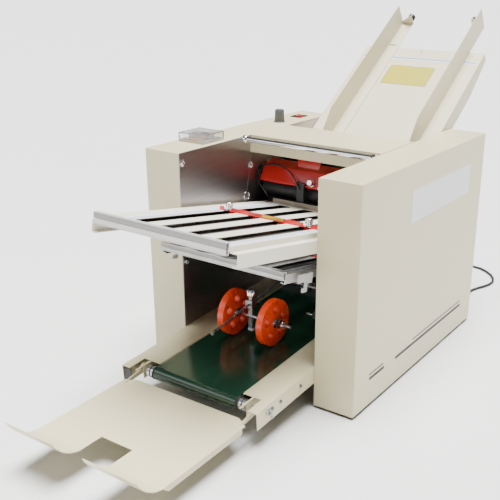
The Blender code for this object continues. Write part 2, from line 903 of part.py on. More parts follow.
# Feed bed, feed roller and separator pad
def build_feed():
    half_width = pad_width / 2
    half_length = pad_length / 2
    under = -table_sheet - seat_gap
    pad = box("separator_pad", (-half_width, feed_s - half_length, under - seat_gap),
              (half_width, feed_s + half_length, pad_proud), black_rubber)
    foot = box("pad_foot", (-half_width - pad_foot, feed_s - half_length - pad_foot,
                            under - pad_foot_height),
               (half_width + pad_foot, feed_s + half_length + pad_foot, under), None)
    fuse(pad, foot)
    adopt(pad, table_frame)
    y, z = feed_axis()
    end = frame_outer_x + feed_shaft_end
    roller = turned("feed_roller", [
        (end, 0.0), (end, journal_radius), (feed_half_width, journal_radius),
        (feed_half_width, feed_radius), (-feed_half_width, feed_radius),
        (-feed_half_width, journal_radius), (-frame_outer_x - gear_seat, journal_radius),
        (-frame_outer_x - gear_seat, 0.0)], round_steps, black_rubber)
    adopt(roller, frame_at("feed_roller_axis", (0.0, y, z), 0.0, machine))


# Fold rollers and their gear train
def build_rollers():
    phase = 0.0
    for index in range(1, roller_count + 1):
        y, z = roller_axis(index)
        body = span_x - roller_end_gap
        right = frame_outer_x + gear_seat + gear_width + gear_seat
        left = frame_outer_x + gear_seat
        profile = [(right, 0.0), (right, journal_radius), (body, journal_radius),
                   (body, roller_radius), (-body, roller_radius), (-body, journal_radius)]
        if index == roller_count:
            near = frame_outer_x + pulley_stand
            far = near + pulley_width
            flange = roller_pulley_radius + pulley_flange
            profile += [(-near, journal_radius), (-near, flange),
                        (-near - pulley_flange_width, flange),
                        (-near - pulley_flange_width, roller_pulley_radius),
                        (-far + pulley_flange_width, roller_pulley_radius),
                        (-far + pulley_flange_width, flange), (-far, flange), (-far, 0.0)]
        else:
            profile += [(-left, journal_radius), (-left, 0.0)]
        axis = frame_at("fold_roller_axis_%d" % index, (0.0, y, z), 0.0, machine)
        roller = turned("fold_roller_%d" % index, profile, round_steps, black_rubber)
        adopt(roller, axis)
        bore = circle(0.0, 0.0, journal_radius + seat_gap, hole_steps)
        wheel = extrude("roller_gear_%d" % index, [gear_outline(gear_radius, phase), bore],
                        gear_width, steel,
                        centre=(frame_outer_x + gear_seat + gear_width / 2, 0.0, 0.0))
        adopt(wheel, axis)
        if index < roller_count:
            next_y, next_z = roller_axis(index + 1)
            bearing = math.atan2(next_z - z, next_y - y)
            tooth = 2 * math.pi / gear_teeth
            here = ((bearing - phase) / tooth) % 1.0
            phase = bearing + math.pi - tooth * (0.5 - here)


# Fold plates
def plate_section(grid, rail, drop):
    """Half widths of the grid and of the rails; a narrower grid stands on a low flange."""
    wall = plate_wall
    inner = rail - wall
    lip = rail - rail_lip
    under = -plate_stack
    right = [(rail, 0.0)]
    if grid < rail:
        right = [(grid, 0.0), (grid, -flange_drop), (rail, -flange_drop)]
        under = -flange_drop - wall
    right += [(rail, -drop), (lip, -drop), (lip, -drop + wall), (inner, -drop + wall),
              (inner, under)]
    if grid < rail:
        right += [(grid - wall, under), (grid - wall, -plate_stack)]
    left = [(-x, z) for x, z in reversed(right)]
    gap_low, gap_high = -grid_sheet - paper_gap, -grid_sheet
    return [right + left, rectangle(wall - grid, gap_low, grid - wall, gap_high)]


def slot_x(index):
    return slot_first_x + index * slot_pitch


def build_plate(name, axes, halves, length, drop, rails, open_end, channel, mat):
    """halves are those of the grid and of the rails, rails their start and end, channel the
    height and rise of the closing channel; open_end is +1 where the paper enters at the far
    end, -1 at the near end."""
    half, rail_half = halves
    rail_from, rail_to = rails
    plate = extrude(name, plate_section(half, rail_half, drop), length, mat, way=along_y,
                    centre=(0.0, length / 2, 0.0))
    wide = rail_half + cut_over
    deep = -drop - cut_over
    if rail_from > 0:
        cut(plate, box(name + "_rail_front", (-wide, -cut_over, deep),
                       (wide, rail_from, -plate_stack), None))
    if rail_to < length:
        cut(plate, box(name + "_rail_back", (-wide, rail_to, deep),
                       (wide, length + cut_over, -plate_stack), None))
    closed, opened = slot_margin, slot_end_margin
    ends = (closed, length - opened) if open_end > 0 else (opened, length - closed)
    for i in range(slot_count):
        x = slot_x(i)
        cut(plate, box("%s_slot_%d" % (name, i),
                       (x - slot_width / 2, ends[0], -grid_sheet - paper_gap / 2),
                       (x + slot_width / 2, ends[1], cut_over), None),
            box("%s_back_slot_%d" % (name, i),
                (x - back_slot_width / 2, ends[0], -plate_stack - finger_clear),
                (x + back_slot_width / 2, ends[1], -grid_sheet - paper_gap / 2), None))
    outer = 0.0 if open_end > 0 else length
    face = -open_end
    web = outer - face * plate_bite
    far = web + face * (channel_sheet + channel_lip)
    near_top = channel[1]
    low = near_top - channel[0]
    line = [(far, near_top), (web, near_top), (web, low), (far, low)]
    if face > 0:
        line = line[::-1]
    fuse(plate, extrude(name + "_channel", [sheet(line, -channel_sheet)], 2 * half, None))
    if name == "upper_fold_plate":
        edge = length - mouth_lip_sheet
        fuse(plate, box(name + "_mouth_lip", (-mouth_lip_half, edge, -grid_sheet / 2),
                        (mouth_lip_half, length, mouth_lip_rise), None))
    return adopt(plate, axes)


def build_stop(name, axes, s, knobs):
    slide = frame_at(name + "_slide", (0.0, s, seat_gap), 0.0, axes)
    bar = box(name, (stop_left_x, -stop_depth / 2, 0.0), (stop_right_x, stop_depth / 2,
                                                         stop_sheet), guard_red)
    floor = -plate_stack - finger_clear
    for i in range(slot_count):
        x = slot_x(i)
        fuse(bar, box("%s_finger_%d" % (name, i), (x - finger_width / 2, -finger_depth / 2,
                                                   floor),
                      (x + finger_width / 2, finger_depth / 2, stop_sheet / 2), None))
    adopt(bar, slide)
    for label, x in knobs:
        axis = frame_at("%s_axis" % label, (x, 0.0, stop_sheet + seat_gap), 0.0, slide)
        top = stop_knob_lift + stop_knob_height
        knob = turned(label, [(top, 0.0), (top, stop_knob_radius - stop_knob_round),
                              (top - stop_knob_round, stop_knob_radius),
                              (stop_knob_lift, stop_knob_radius),
                              (stop_knob_lift, stop_knob_neck), (0.0, stop_knob_neck),
                              (0.0, 0.0)], small_steps, chrome, "z")
        adopt(knob, axis)


def rear_plate_z(above):
    """Height of a rear plate's top face at its mouth, midway between two rear rollers."""
    middle = (roller_axis(above)[1] + roller_axis(above + 2)[1]) / 2
    return middle + plate_stack / 2


def build_fold_plates():
    upper = frame_at("upper_plate_axes", (0.0, upper_front_y, upper_front_z), upper_slope,
                     machine)
    deep_channel = (channel_height, channel_rise)
    build_plate("upper_fold_plate", upper, (grid_half, span_x), upper_length,
                upper_rail_drop, (rail_start, rail_end), 1, deep_channel, aluminium)
    build_stop("upper_stop_bar", upper, upper_stop_s,
               (("upper_stop_knob_left", clamp_left_x),
                ("upper_stop_knob_right", clamp_right_x)))
    lower = frame_at("lower_plate_axes", (0.0, lower_front_y, lower_front_z), upper_slope,
                     machine)
    plate = build_plate("lower_fold_plate", lower, (lower_half, lower_half), lower_length,
                        lower_rail_drop, (0.0, lower_rail_end), 1,
                        (lower_channel_height, lower_channel_rise), aluminium)
    build_stop("lower_stop_bar", lower, lower_stop_s, ())
    for side in (-1, 1):
        fuse(plate, build_hook("plate_hook_%s" % ("left" if side < 0 else "right"), side))
    for name, above in (("rear_upper_fold_plate", 2), ("rear_lower_fold_plate", 4)):
        axes = frame_at(name + "_axes", (0.0, rear_mouth_y, rear_plate_z(above)), rear_slope,
                        machine)
        build_plate(name, axes, (rear_half, rear_half), rear_length, lower_rail_drop,
                    (rear_rail_start, rear_length), -1, deep_channel, aluminium)


def build_hook(name, side):
    """The hook under each side of the lower plate, which hangs it on the side frame."""
    top = -lower_rail_drop + hook_tip
    start = hook_start
    end = start + hook_length
    low = top - hook_height
    step = end - 2 * hook_tip
    profile = [(start, top), (end, top), (end, low + hook_tip), (end - hook_tip, low
                                                                + hook_tip),
               (end - hook_tip, low), (step, low), (step, low + hook_tip / 2),
               (step + hook_tip / 2, low + hook_tip / 2), (step + hook_tip / 2, top - hook_tip),
               (start, top - hook_tip)]
    near = lower_half - plate_wall
    far = hook_reach
    arm = box(name + "_arm", (min(side * near, side * far), start + hook_tip,
                              -plate_stack - hook_sheet),
              (max(side * near, side * far), end - hook_tip, -plate_stack), None)
    hook = extrude(name, [profile], hook_sheet, None,
                   centre=(side * (far - hook_sheet / 2), 0.0, 0.0))
    fuse(hook, arm)
    return hook


# Red guard and sheet sensor
def build_guard():
    curl = [(guard_low_y + guard_curl, guard_low_z + guard_curl / 2),
            (guard_low_y + guard_curl / 2, guard_low_z),
            (guard_low_y, guard_low_z + guard_curl / 2),
            (guard_low_y, guard_low_z + guard_curl)]
    line = curl + [(guard_high_y, guard_high_z), (guard_back_y, guard_back_z)]
    guard = extrude("roller_guard", [sheet(line, guard_sheet)], 2 * guard_half, guard_red)
    bar_y = (guard_high_y + guard_back_y) / 2
    bar_z = (guard_high_z + guard_back_z) / 2 - guard_sheet - guard_bar_radius + guard_bar_bite
    bar = cylinder("guard_bar", guard_bar_radius, -span_x, span_x, small_steps, None, "x",
                   (0.0, bar_y, bar_z))
    fuse(guard, bar)
    adopt(guard, machine)
    back = guard_low_y - seat_gap
    top = guard_low_z + guard_curl
    body = box("sheet_sensor", (sensor_x - sensor_width / 2, back - sensor_depth,
                                top - sensor_height),
               (sensor_x + sensor_width / 2, back, top), black_paint)
    foot = box("sensor_nose", (sensor_x - sensor_foot / 2, back - sensor_depth / 2,
                               top - sensor_height),
               (sensor_x + sensor_foot / 2, back + sensor_foot / 2,
                top - sensor_height + sensor_foot_height), None)
    fuse(body, foot)
    adopt(body, machine)


# Conveyor
def build_conveyor():
    axes = frame_at("conveyor_axes", (0.0, conveyor_y, conveyor_z), conveyor_slope, machine)
    low = rail_top - rail_drop
    line = [(-span_x, low), (-span_x, rail_top), (-rail_inner, rail_top),
            (-rail_inner, -bed_drop), (rail_inner, -bed_drop), (rail_inner, rail_top),
            (span_x, rail_top), (span_x, low)]
    length = conveyor_back - conveyor_front
    bed = extrude("conveyor_frame", [sheet(line, rail_sheet)], length, cream, way=along_y,
                  centre=(0.0, (conveyor_back + conveyor_front) / 2, 0.0))
    deep = low - cut_over
    high = rail_top + cut_over
    step = rail_inner - seat_gap
    for side in (-1, 1):
        ear = [(-ear_front, -ear_drop), (ear_back, -ear_drop), (ear_back, rail_top / 2),
               (-ear_front / 2, rail_top / 2), (-ear_front, -ear_front / 2)]
        bed_ear = extrude("axle_ear_%d" % (side + 2), [ear], ear_sheet, None,
                          centre=(side * ear_x, 0.0, 0.0))
        fuse(bed, bed_ear)
    cut(bed,
        box("front_notch", (-notch_half, conveyor_front - cut_over, deep),
            (-ear_x - ear_sheet, notch_s, high), None),
        box("front_notch_middle", (-ear_x + ear_sheet, conveyor_front - cut_over, deep),
            (ear_x - ear_sheet, notch_s, high), None),
        box("front_notch_right", (ear_x + ear_sheet, conveyor_front - cut_over, deep),
            (notch_half, notch_s, high), None),
        box("bed_front", (-step, notch_s - cut_over, deep), (step, bed_start, high), None),
        box("bed_back", (-step, rear_roller_s - bed_start, deep),
            (step, conveyor_back + cut_over, high), None),
        cylinder("front_axle_hole", axle_radius + seat_gap, -outer_x, outer_x, hole_steps,
                 None, "x", (0.0, 0.0, -belt_turn)),
        cylinder("rear_axle_hole", axle_radius + seat_gap, -outer_x, outer_x, hole_steps,
                 None, "x", (0.0, rear_roller_s, -belt_turn)))
    adopt(bed, axes)

    def loop(radius):
        front = [(-radius * math.sin(math.pi * i / belt_steps),
                  -belt_turn - radius * math.cos(math.pi * i / belt_steps))
                 for i in range(belt_steps + 1)]
        back = [(rear_roller_s - u, -2 * belt_turn - v) for u, v in front]
        return front + back

    belt = extrude("conveyor_belt", [loop(belt_turn), loop(belt_turn - belt_sheet)],
                   2 * belt_half, belt_green)
    adopt(belt, axes)
    body = belt_turn - belt_sheet - seat_gap
    end = span_x + axle_proud
    front = turned("conveyor_front_roller", [
        (end, 0.0), (end, axle_radius), (sleeve_reach, axle_radius),
        (sleeve_reach, sleeve_radius), (belt_half, sleeve_radius), (belt_half, body),
        (-belt_half, body), (-belt_half, sleeve_radius), (-sleeve_reach, sleeve_radius),
        (-sleeve_reach, axle_radius), (-end, axle_radius), (-end, 0.0)], round_steps,
        aluminium)
    adopt(front, frame_at("front_axle", (0.0, front_axle_y, front_axle_z), 0.0, machine))
    near = frame_outer_x + pulley_stand
    far = near + pulley_width
    flange = pulley_radius + pulley_flange
    rear = turned("conveyor_rear_roller", [
        (frame_outer_x, 0.0), (frame_outer_x, axle_radius), (belt_half, axle_radius),
        (belt_half, body), (-belt_half, body), (-belt_half, axle_radius),
        (-near, axle_radius), (-near, flange), (-near - pulley_flange_width, flange),
        (-near - pulley_flange_width, pulley_radius),
        (-far + pulley_flange_width, pulley_radius), (-far + pulley_flange_width, flange),
        (-far, flange), (-far, 0.0)], round_steps, aluminium)
    adopt(rear, frame_at("rear_axle", (0.0, rear_axle_y, rear_axle_z), 0.0, machine))


# Exit tray
def build_tray():
    pivot = frame_at("tray_pivot", (0.0, front_axle_y, front_axle_z), 0.0, machine)
    line = [(-tray_back, -tray_drop)] + lip_line
    tray = extrude("exit_tray", [sheet(line, -tray_sheet)], 2 * tray_half, cream)
    front = -tray_flat_end - lip_length
    low = -tray_drop - tray_fall - tray_flange - cut_over
    cut(tray, box("tray_notch", (tray_notch_x - tray_notch_half, front - cut_over, low),
                  (tray_notch_x + tray_notch_half, -tray_notch_start, lip_length), None))

    for side in (-1, 1):
        corner = [(side * (tray_half + cut_over), -tray_back - tray_corner_y),
                  (side * (tray_half - tray_corner_x), -tray_back),
                  (side * (tray_half - tray_corner_x), -tray_back + cut_over),
                  (side * (tray_half + cut_over), -tray_back + cut_over)]
        cut(tray, extrude("tray_corner_%d" % (side + 2), [corner], 2 * tray_flange, None,
                          way=along_z, centre=(0.0, 0.0, -tray_drop)))
    slope = tray_fall / (tray_flat_end - tray_back)
    y0, y1 = -tray_flange_start, -tray_flat_end
    z0 = -tray_drop - (tray_flange_start - tray_back) * slope
    z1 = -tray_drop - tray_fall
    side_plate = [(y0, z0), (y1, z1), (y1, z1 - tray_sheet), (y1 + tray_flange, z1
                                                              - tray_flange),
                  (y0, z0 - tray_flange)]
    bar = [(-arm_reach, -tray_drop - tray_sheet / 2), (-arm_reach, -tray_drop
                                                       - tray_sheet - arm_sheet),
           (-tray_back, -tray_drop - tray_sheet - arm_sheet)]
    ring = circle(0.0, 0.0, arm_radius, round_steps, math.radians(-60))
    keep = [p for p in ring if not (p[0] < 0 and p[1] < 0)]
    arm = bar + [(0.0, -arm_radius)] + sorted(
        keep, key=lambda p: (math.atan2(p[1], p[0]) + math.pi / 2) % (2 * math.pi))
    hole = circle(0.0, 0.0, axle_radius + seat_gap, hole_steps)
    for side in (-1, 1):
        fuse(tray, extrude("tray_side_%d" % (side + 2), [side_plate], tray_sheet, None,
                           centre=(side * (tray_half - tray_sheet / 2), 0.0, 0.0)))
        fuse(tray, extrude("tray_arm_%d" % (side + 2), [arm, hole], arm_sheet, None,
                           centre=(side * arm_x, 0.0, 0.0)))
    adopt(tray, pivot)


# Press wheels, their carriage and its rod
def build_wheels():
    rod_z = wheel_z + rod_rise
    slide = frame_at("carriage_slide", (0.0, wheel_y, wheel_z), 0.0, machine)
    half = clamp_size / 2
    bar = box("wheel_carriage", (carriage_x - carriage_bar_width / 2,
                                 -carriage_bar_depth / 2, -carriage_drop),
              (carriage_x + carriage_bar_width / 2, carriage_bar_depth / 2,
               rod_rise - rod_radius * 2), steel)
    block = box("carriage_clamp", (carriage_x - half, -half, rod_rise - half),
                (carriage_x + half, half, rod_rise + half), None)
    axle = cylinder("wheel_axle", wheel_axle_radius, wheel_axle_left, wheel_axle_right,
                    shaft_steps, None)
    screw_top = rod_rise + half + clamp_screw_height
    screw = cylinder("clamp_screw", clamp_screw_radius, rod_rise, screw_top, small_steps,
                     None, "z", (carriage_x, 0.0, 0.0))
    fuse(bar, block, screw, axle)
    for i, x in enumerate((wheel_left_x, wheel_right_x)):
        for j, side in enumerate((-1, 1)):
            near = x + side * (wheel_width / 2 + seat_gap)
            ends = sorted((near, near + side * wheel_collar_width))
            fuse(bar, cylinder("wheel_collar_%d_%d" % (i, j), wheel_collar, ends[0], ends[1],
                               small_steps, None))
    channel = cylinder("rod_channel", rod_radius + seat_gap, -clamp_size, clamp_size,
                       hole_steps, None, "z")
    move_mesh(channel, Matrix.Translation((carriage_x, 0.0, rod_rise))
              @ Matrix.Rotation(rod_slope - math.pi / 2, 4, "X"))
    cut(bar, channel)
    adopt(bar, slide)
    bore = circle(0.0, 0.0, wheel_axle_radius + seat_gap, hole_steps)
    for name, x in (("press_wheel_left", wheel_left_x), ("press_wheel_right", wheel_right_x)):
        holes = []
        for i in range(wheel_holes):
            a = math.pi / 2 + 2 * math.pi * i / wheel_holes
            holes.append(circle(wheel_hole_circle * math.cos(a),
                                wheel_hole_circle * math.sin(a), wheel_hole_radius,
                                small_steps))
        rim = circle(0.0, 0.0, wheel_radius, 2 * round_steps)
        wheel = extrude(name, [rim, bore] + holes, wheel_width, wheel_orange)
        adopt(wheel, frame_at(name + "_axis", (x, 0.0, 0.0), 0.0, slide))
    front = (rod_front_y - wheel_y) / math.cos(rod_slope)
    back = (rod_back_y - wheel_y) / math.cos(rod_slope)
    rod = turned("wheel_rod", [
        (back, 0.0), (back, rod_radius), (front + rod_cap_length, rod_radius),
        (front + rod_cap_length, rod_cap_radius), (front, rod_cap_radius), (front, 0.0)],
        small_steps, chrome, "z")
    move_mesh(rod, Matrix.Rotation(rod_slope - math.pi / 2, 4, "X"))
    bar_z = back * math.sin(rod_slope)
    cross = cylinder("rod_cross_bar", rod_bar_radius, -span_x - carriage_x,
                     span_x - carriage_x, shaft_steps, None, "x",
                     (0.0, rod_back_y - wheel_y, bar_z))
    fuse(rod, cross)
    adopt(rod, machine, (carriage_x, wheel_y, rod_z))


# Motor, pulley, drive belt and baffle
def build_drive():
    near = frame_outer_x + pulley_stand
    right = -span_x + motor_length
    motor = turned("drive_motor", [
        (right, 0.0), (right, motor_radius - motor_face), (right - motor_face, motor_radius),
        (-span_x + motor_face, motor_radius), (-span_x + motor_face, motor_face_radius),
        (-span_x, motor_face_radius), (-span_x, motor_boss_radius),
        (-frame_outer_x, motor_boss_radius), (-frame_outer_x, 0.0)], round_steps, black_paint)
    adopt(motor, machine, (0.0, motor_y, motor_z))
    start = frame_outer_x + seat_gap
    far = near + pulley_width
    flange = pulley_radius + pulley_flange
    pulley = turned("motor_pulley", [
        (-start, 0.0), (-start, journal_radius), (-near, journal_radius), (-near, flange),
        (-near - pulley_flange_width, flange), (-near - pulley_flange_width, pulley_radius),
        (-far + pulley_flange_width, pulley_radius), (-far + pulley_flange_width, flange),
        (-far, flange), (-far, 0.0)], round_steps, aluminium)
    adopt(pulley, frame_at("motor_axis", (0.0, motor_y, motor_z), 0.0, machine))
    wheels = [(motor_y, motor_z, pulley_radius),
              (*roller_axis(roller_count), roller_pulley_radius),
              (rear_axle_y, rear_axle_z, pulley_radius)]
    inner = belt_loop([(y, z, r + seat_gap) for y, z, r in wheels], belt_steps)
    outer = belt_loop([(y, z, r + seat_gap + drive_belt_sheet) for y, z, r in wheels],
                      belt_steps)
    belt = extrude("drive_belt", [outer, inner], drive_belt_width, black_rubber,
                   centre=(-(near + far) / 2, 0.0, 0.0))
    adopt(belt, machine)
    line = [(-panel_flange, panel_low), (0.0, panel_low), (0.0, panel_high),
            (-panel_flange, panel_high)]
    panel = extrude("rear_panel", [sheet(line, panel_sheet)], 2 * span_x, cream)
    adopt(panel, machine, (0.0, panel_y, 0.0))


# Controls on the left housing
def build_controls(left_housing):
    knob = turned("speed_knob", [
        (knob_height, 0.0), (knob_height, knob_top_radius), (knob_skirt, knob_radius),
        (knob_skirt, knob_skirt_radius), (0.0, knob_skirt_radius), (0.0, 0.0)],
        round_steps, grey_plastic, "z")
    adopt(knob, frame_at("speed_knob_axis", (knob_x, knob_y, housing_top + seat_gap), 0.0,
                         machine))
    axis = frame_at("switch_axis", (switch_x, switch_y, housing_top), 0.0, machine)
    half = switch_length / 2
    dip = switch_proud * rocker_dip_share
    profile = [(-half, -switch_depth), (half, -switch_depth), (half, dip), (0.0, dip),
               (-half, switch_proud)]
    rocker = extrude("rocker_switch", [profile], switch_width, guard_red)
    adopt(rocker, axis)
    gap = switch_swing_gap
    hole = box("switch_hole", (switch_x - switch_width / 2 - seat_gap,
                               switch_y - half - gap, housing_top - shell - cut_over),
               (switch_x + switch_width / 2 + seat_gap, switch_y + half + gap,
                housing_top + cut_over), None)
    cut(left_housing, hole)
    half = counter_size / 2
    base_z = housing_top + seat_gap
    base = box("counter_base", (-half, -half, 0.0), (half, half, counter_plate),
               clear_plastic)
    block = box("counter_block", (-counter_block_x / 2, -counter_block_y / 2,
                                  counter_plate / 2),
                (counter_block_x / 2, counter_block_y / 2,
                 counter_plate + counter_block_height), None)
    fuse(base, block)
    adopt(base, machine, (counter_x, counter_y, base_z))
    hinge = frame_at("counter_hinge", (counter_x, counter_y + half,
                                       base_z + counter_plate + seat_gap), 0.0, machine)
    lid = box("counter_lid", (-half, -counter_size, 0.0), (half, 0.0, counter_lid_height),
              clear_plastic)
    wall = counter_wall
    hollow = box("lid_hollow", (-half + wall, -counter_size + wall, -cut_over),
                 (half - wall, -wall, counter_lid_height - wall), None)
    cut(lid, hollow)
    adopt(lid, hinge)


# Mains cord
def smooth_route(points, step):
    """Points every step along a smooth curve through the route's own points."""
    line = [Vector(p) for p in points]
    fine = [line[0]]
    for i in range(len(line) - 1):
        p0 = line[max(i - 1, 0)]
        p1, p2 = line[i], line[i + 1]
        p3 = line[min(i + 2, len(line) - 1)]
        for k in range(1, 9):
            t = k / 8
            fine.append(0.5 * ((2 * p1) + (p2 - p0) * t + (2 * p0 - 5 * p1 + 4 * p2 - p3)
                               * t * t + (3 * p1 - p0 - 3 * p2 + p3) * t ** 3))
    kept = [fine[0]]
    run = 0.0
    for a, b in zip(fine, fine[1:]):
        run += (b - a).length
        if run >= step:
            kept.append(b)
            run = 0.0
    if (kept[-1] - fine[-1]).length < step / 2:
        kept.pop()
    kept += [fine[-1]]
    return kept


def coil_route():
    """Two layers: spiral in on the desk, climb, then spiral out on top, then a tail."""
    pitch = 2 * cord_radius + coil_gap
    low = cord_radius + seat_gap
    steps = int(coil_turns * coil_turn_points)
    reverse = steps / coil_layers
    climb = coil_turn_points / 2
    points = [Vector((coil_x + coil_outer, coil_y + 2 * cord_radius, low))]
    for i in range(steps + 1):
        angle = -2 * math.pi * i / coil_turn_points
        wound = min(i, 2 * reverse - i) / coil_turn_points
        radius = coil_outer - pitch * wound
        rise = min(max((i - reverse + climb / 2) / climb, 0.0), 1.0)
        height = low + pitch * rise * rise * (3 - 2 * rise)
        points.append(Vector((coil_x + radius * math.cos(angle),
                              coil_y + radius * math.sin(angle), height)))
    way = Vector(points[-1] - points[-2])
    way.z = 0.0
    way.normalize()
    start = points[-1].copy()
    lift = plug_radius + seat_gap - start.z
    for i in range(1, tail_points + 1):
        share = i / tail_points
        rise = min(share * tail_points / (tail_points - 1), 1.0)
        point = start + way * tail_length * share
        point.z += lift * rise * rise * (3 - 2 * rise)
        points.append(point)
    return points


def least_gap(points):
    """Smallest clear distance between turns that pass each other."""
    skip = coil_turn_points // 2
    gaps = [(points[i] - points[j]).length - 2 * cord_radius
            for i in range(len(points)) for j in range(i + skip, len(points))]
    return min(gaps)


def route_length(points):
    return sum((b - a).length for a, b in zip(points, points[1:]))


def build_cord(right_housing):
    exit_y = housing_back
    hole = turned("cord_hole", [
        (cut_over, 0.0), (cut_over, relief_neck + seat_gap),
        (-shell - cut_over, relief_neck + seat_gap), (-shell - cut_over, 0.0)], hole_steps,
        None, "z")
    move_mesh(hole, Matrix.Translation((relief_x, exit_y, relief_z))
              @ Matrix.Rotation(-math.pi / 2, 4, "X"))
    cut(right_housing, hole)
    relief = turned("cord_strain_relief", [
        (relief_length, 0.0), (relief_length, relief_tip),
        (relief_flange_width, relief_neck + shell), (relief_flange_width, relief_flange),
        (seat_gap, relief_flange), (seat_gap, relief_neck), (-relief_inside, relief_neck),
        (-relief_inside, 0.0)], shaft_steps, black_rubber, "z")
    move_mesh(relief, Matrix.Rotation(-math.pi / 2, 4, "X"))
    adopt(relief, machine, (relief_x, exit_y, relief_z))
    coil = coil_route()
    join = coil[0] + Vector((0.0, seat_gap, 0.0))
    ends = [join + Vector((0.0, 2 * cord_radius, 0.0)), join]
    begin = Vector((relief_x, exit_y + relief_length + seat_gap, relief_z))
    starts = [begin, begin + Vector((0.0, 2 * cord_radius, 0.0))]
    lying = [Vector((relief_x + x, y, z)) for x, y, z in cord_points]
    free = starts[:1] + smooth_route(starts[1:] + lying + ends, cord_step)
    print("least gap between the coil's turns, mm:", round(least_gap(coil) * 1000, 2))
    print("free stretch, coil and whole length, m:", round(route_length(free), 3),
          round(route_length(coil), 3), round(route_length(free) + route_length(coil), 3))
    adopt(tube("cord_free", free, cord_radius, 2, black_rubber), machine)
    adopt(tube("cord_coil", coil, cord_radius, 1, black_rubber), machine)
    tip = coil[-1]
    way = coil[-1] - coil[-2]
    way.z = 0.0
    way.normalize()
    plug = turned("cord_plug", [
        (plug_length, 0.0), (plug_length, plug_radius), (plug_length - plug_nose,
                                                         plug_radius),
        (plug_nose, relief_neck), (0.0, relief_neck), (0.0, 0.0)], shaft_steps,
        black_rubber, "z")
    for i, side in enumerate((-1, 1)):
        fuse(plug, cylinder("plug_pin_%d" % i, plug_pin_radius, plug_length - plug_nose,
                            plug_length + plug_pin_length, small_steps, None, "z",
                            (side * plug_pin_spread, 0.0, 0.0)))
    adopt(plug, machine, tip + way * seat_gap)
    plug.rotation_mode = "QUATERNION"
    plug.rotation_quaternion = way.to_track_quat("Z", "X")


# Build everything
left = build_housing("left_housing", -1)
right = build_housing("right_housing", 1)
build_frame("left_frame_plate", -1)
build_frame("right_frame_plate", 1)
for side, word in ((-1, "left"), (1, "right")):
    build_foot("foot_front_" + word, side, housing_front + foot_inset)
    build_foot("foot_rear_" + word, side, housing_back - foot_inset)
build_tie_rod()
build_cover()
table_frame = frame_at("table_axes", (0.0, table_line_y, table_line_z), table_slope, machine)
build_table()
build_guide("left_side_guide", 1, left_guide_x)
build_guide("right_side_guide", -1, right_guide_x)
build_feed()
build_rollers()
build_fold_plates()
build_guard()
build_conveyor()
build_tray()
build_wheels()
build_drive()
build_controls(left)
build_cord(right)
bpy.context.view_layer.update()
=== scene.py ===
# %% [markdown]
# # A desk paper folding machine
# The machine stands on a table with its exit tray towards the camera. The solids arrive as a
# fixed frame, already the right size, so this lesson is about what a solid lacks: the finish
# of each surface, and the small fittings that make it look used and real. Each cell makes
# one thing and prints what it made.

# %% Load the frame
import math

import bmesh
import bpy
from mathutils import Matrix, Vector


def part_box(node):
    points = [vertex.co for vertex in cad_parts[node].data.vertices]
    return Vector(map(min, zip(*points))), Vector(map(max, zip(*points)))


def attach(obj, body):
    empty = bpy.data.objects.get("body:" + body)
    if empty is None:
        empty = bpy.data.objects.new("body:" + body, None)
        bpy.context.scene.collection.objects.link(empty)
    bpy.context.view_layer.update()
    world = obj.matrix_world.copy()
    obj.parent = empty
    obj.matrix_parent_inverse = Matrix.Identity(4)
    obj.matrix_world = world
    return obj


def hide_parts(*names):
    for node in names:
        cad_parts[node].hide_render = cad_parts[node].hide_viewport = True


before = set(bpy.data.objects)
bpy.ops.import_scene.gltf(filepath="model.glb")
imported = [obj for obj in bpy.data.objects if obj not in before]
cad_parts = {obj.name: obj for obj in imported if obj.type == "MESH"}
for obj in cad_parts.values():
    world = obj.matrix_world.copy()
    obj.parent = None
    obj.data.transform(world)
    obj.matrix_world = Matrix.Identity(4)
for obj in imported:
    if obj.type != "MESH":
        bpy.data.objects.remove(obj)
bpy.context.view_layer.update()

# %% [markdown]
# ## Where things are
# The solids were drawn from the front face of the housings, so every place here is counted
# from there too, and one number carries it into the model's own frame. The feed table and
# the upper fold plate slope, so each has axes of its own: x across, s up along it, n off it.

# %% Axes of the machine, the feed table and the fold plates
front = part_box("right_housing")[0][1]
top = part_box("left_housing")[1][2]
inner = -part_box("left_housing")[1][0]


def shift(x, y, z):
    return Matrix.Translation((x, y, z))


def sloping(y, z, degrees):
    return shift(0, front + y, z) @ Matrix.Rotation(math.radians(degrees), 4, "X")


def middle_of(node):
    low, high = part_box(node)
    return [(a + b) / 2 for a, b in zip(low, high)]


def foot_of(node):
    """Axes at the middle of a solid's underside."""
    return shift(*middle_of(node)[:2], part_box(node)[0][2])


def added(name, data):
    """A new object, linked to the scene."""
    piece = bpy.data.objects.new(name, data)
    bpy.context.scene.collection.objects.link(piece)
    return piece


upright = shift(0, front, 0)
table = sloping(0.5385, 0.4731, 33.8)
upper = sloping(-0.2440, 0.4097, -10)
lower = sloping(-0.0765, 0.3080, -10)
print("housing front at y =", round(front, 4), "and top at z =", round(top, 4))

# %% [markdown]
# ## Camera
# The camera was worked out from the straight edges in the photograph: where it stands, how
# it is tilted, its focal length, and how far the picture was cut off centre. A shift of the
# sensor gives that last part without turning the camera.

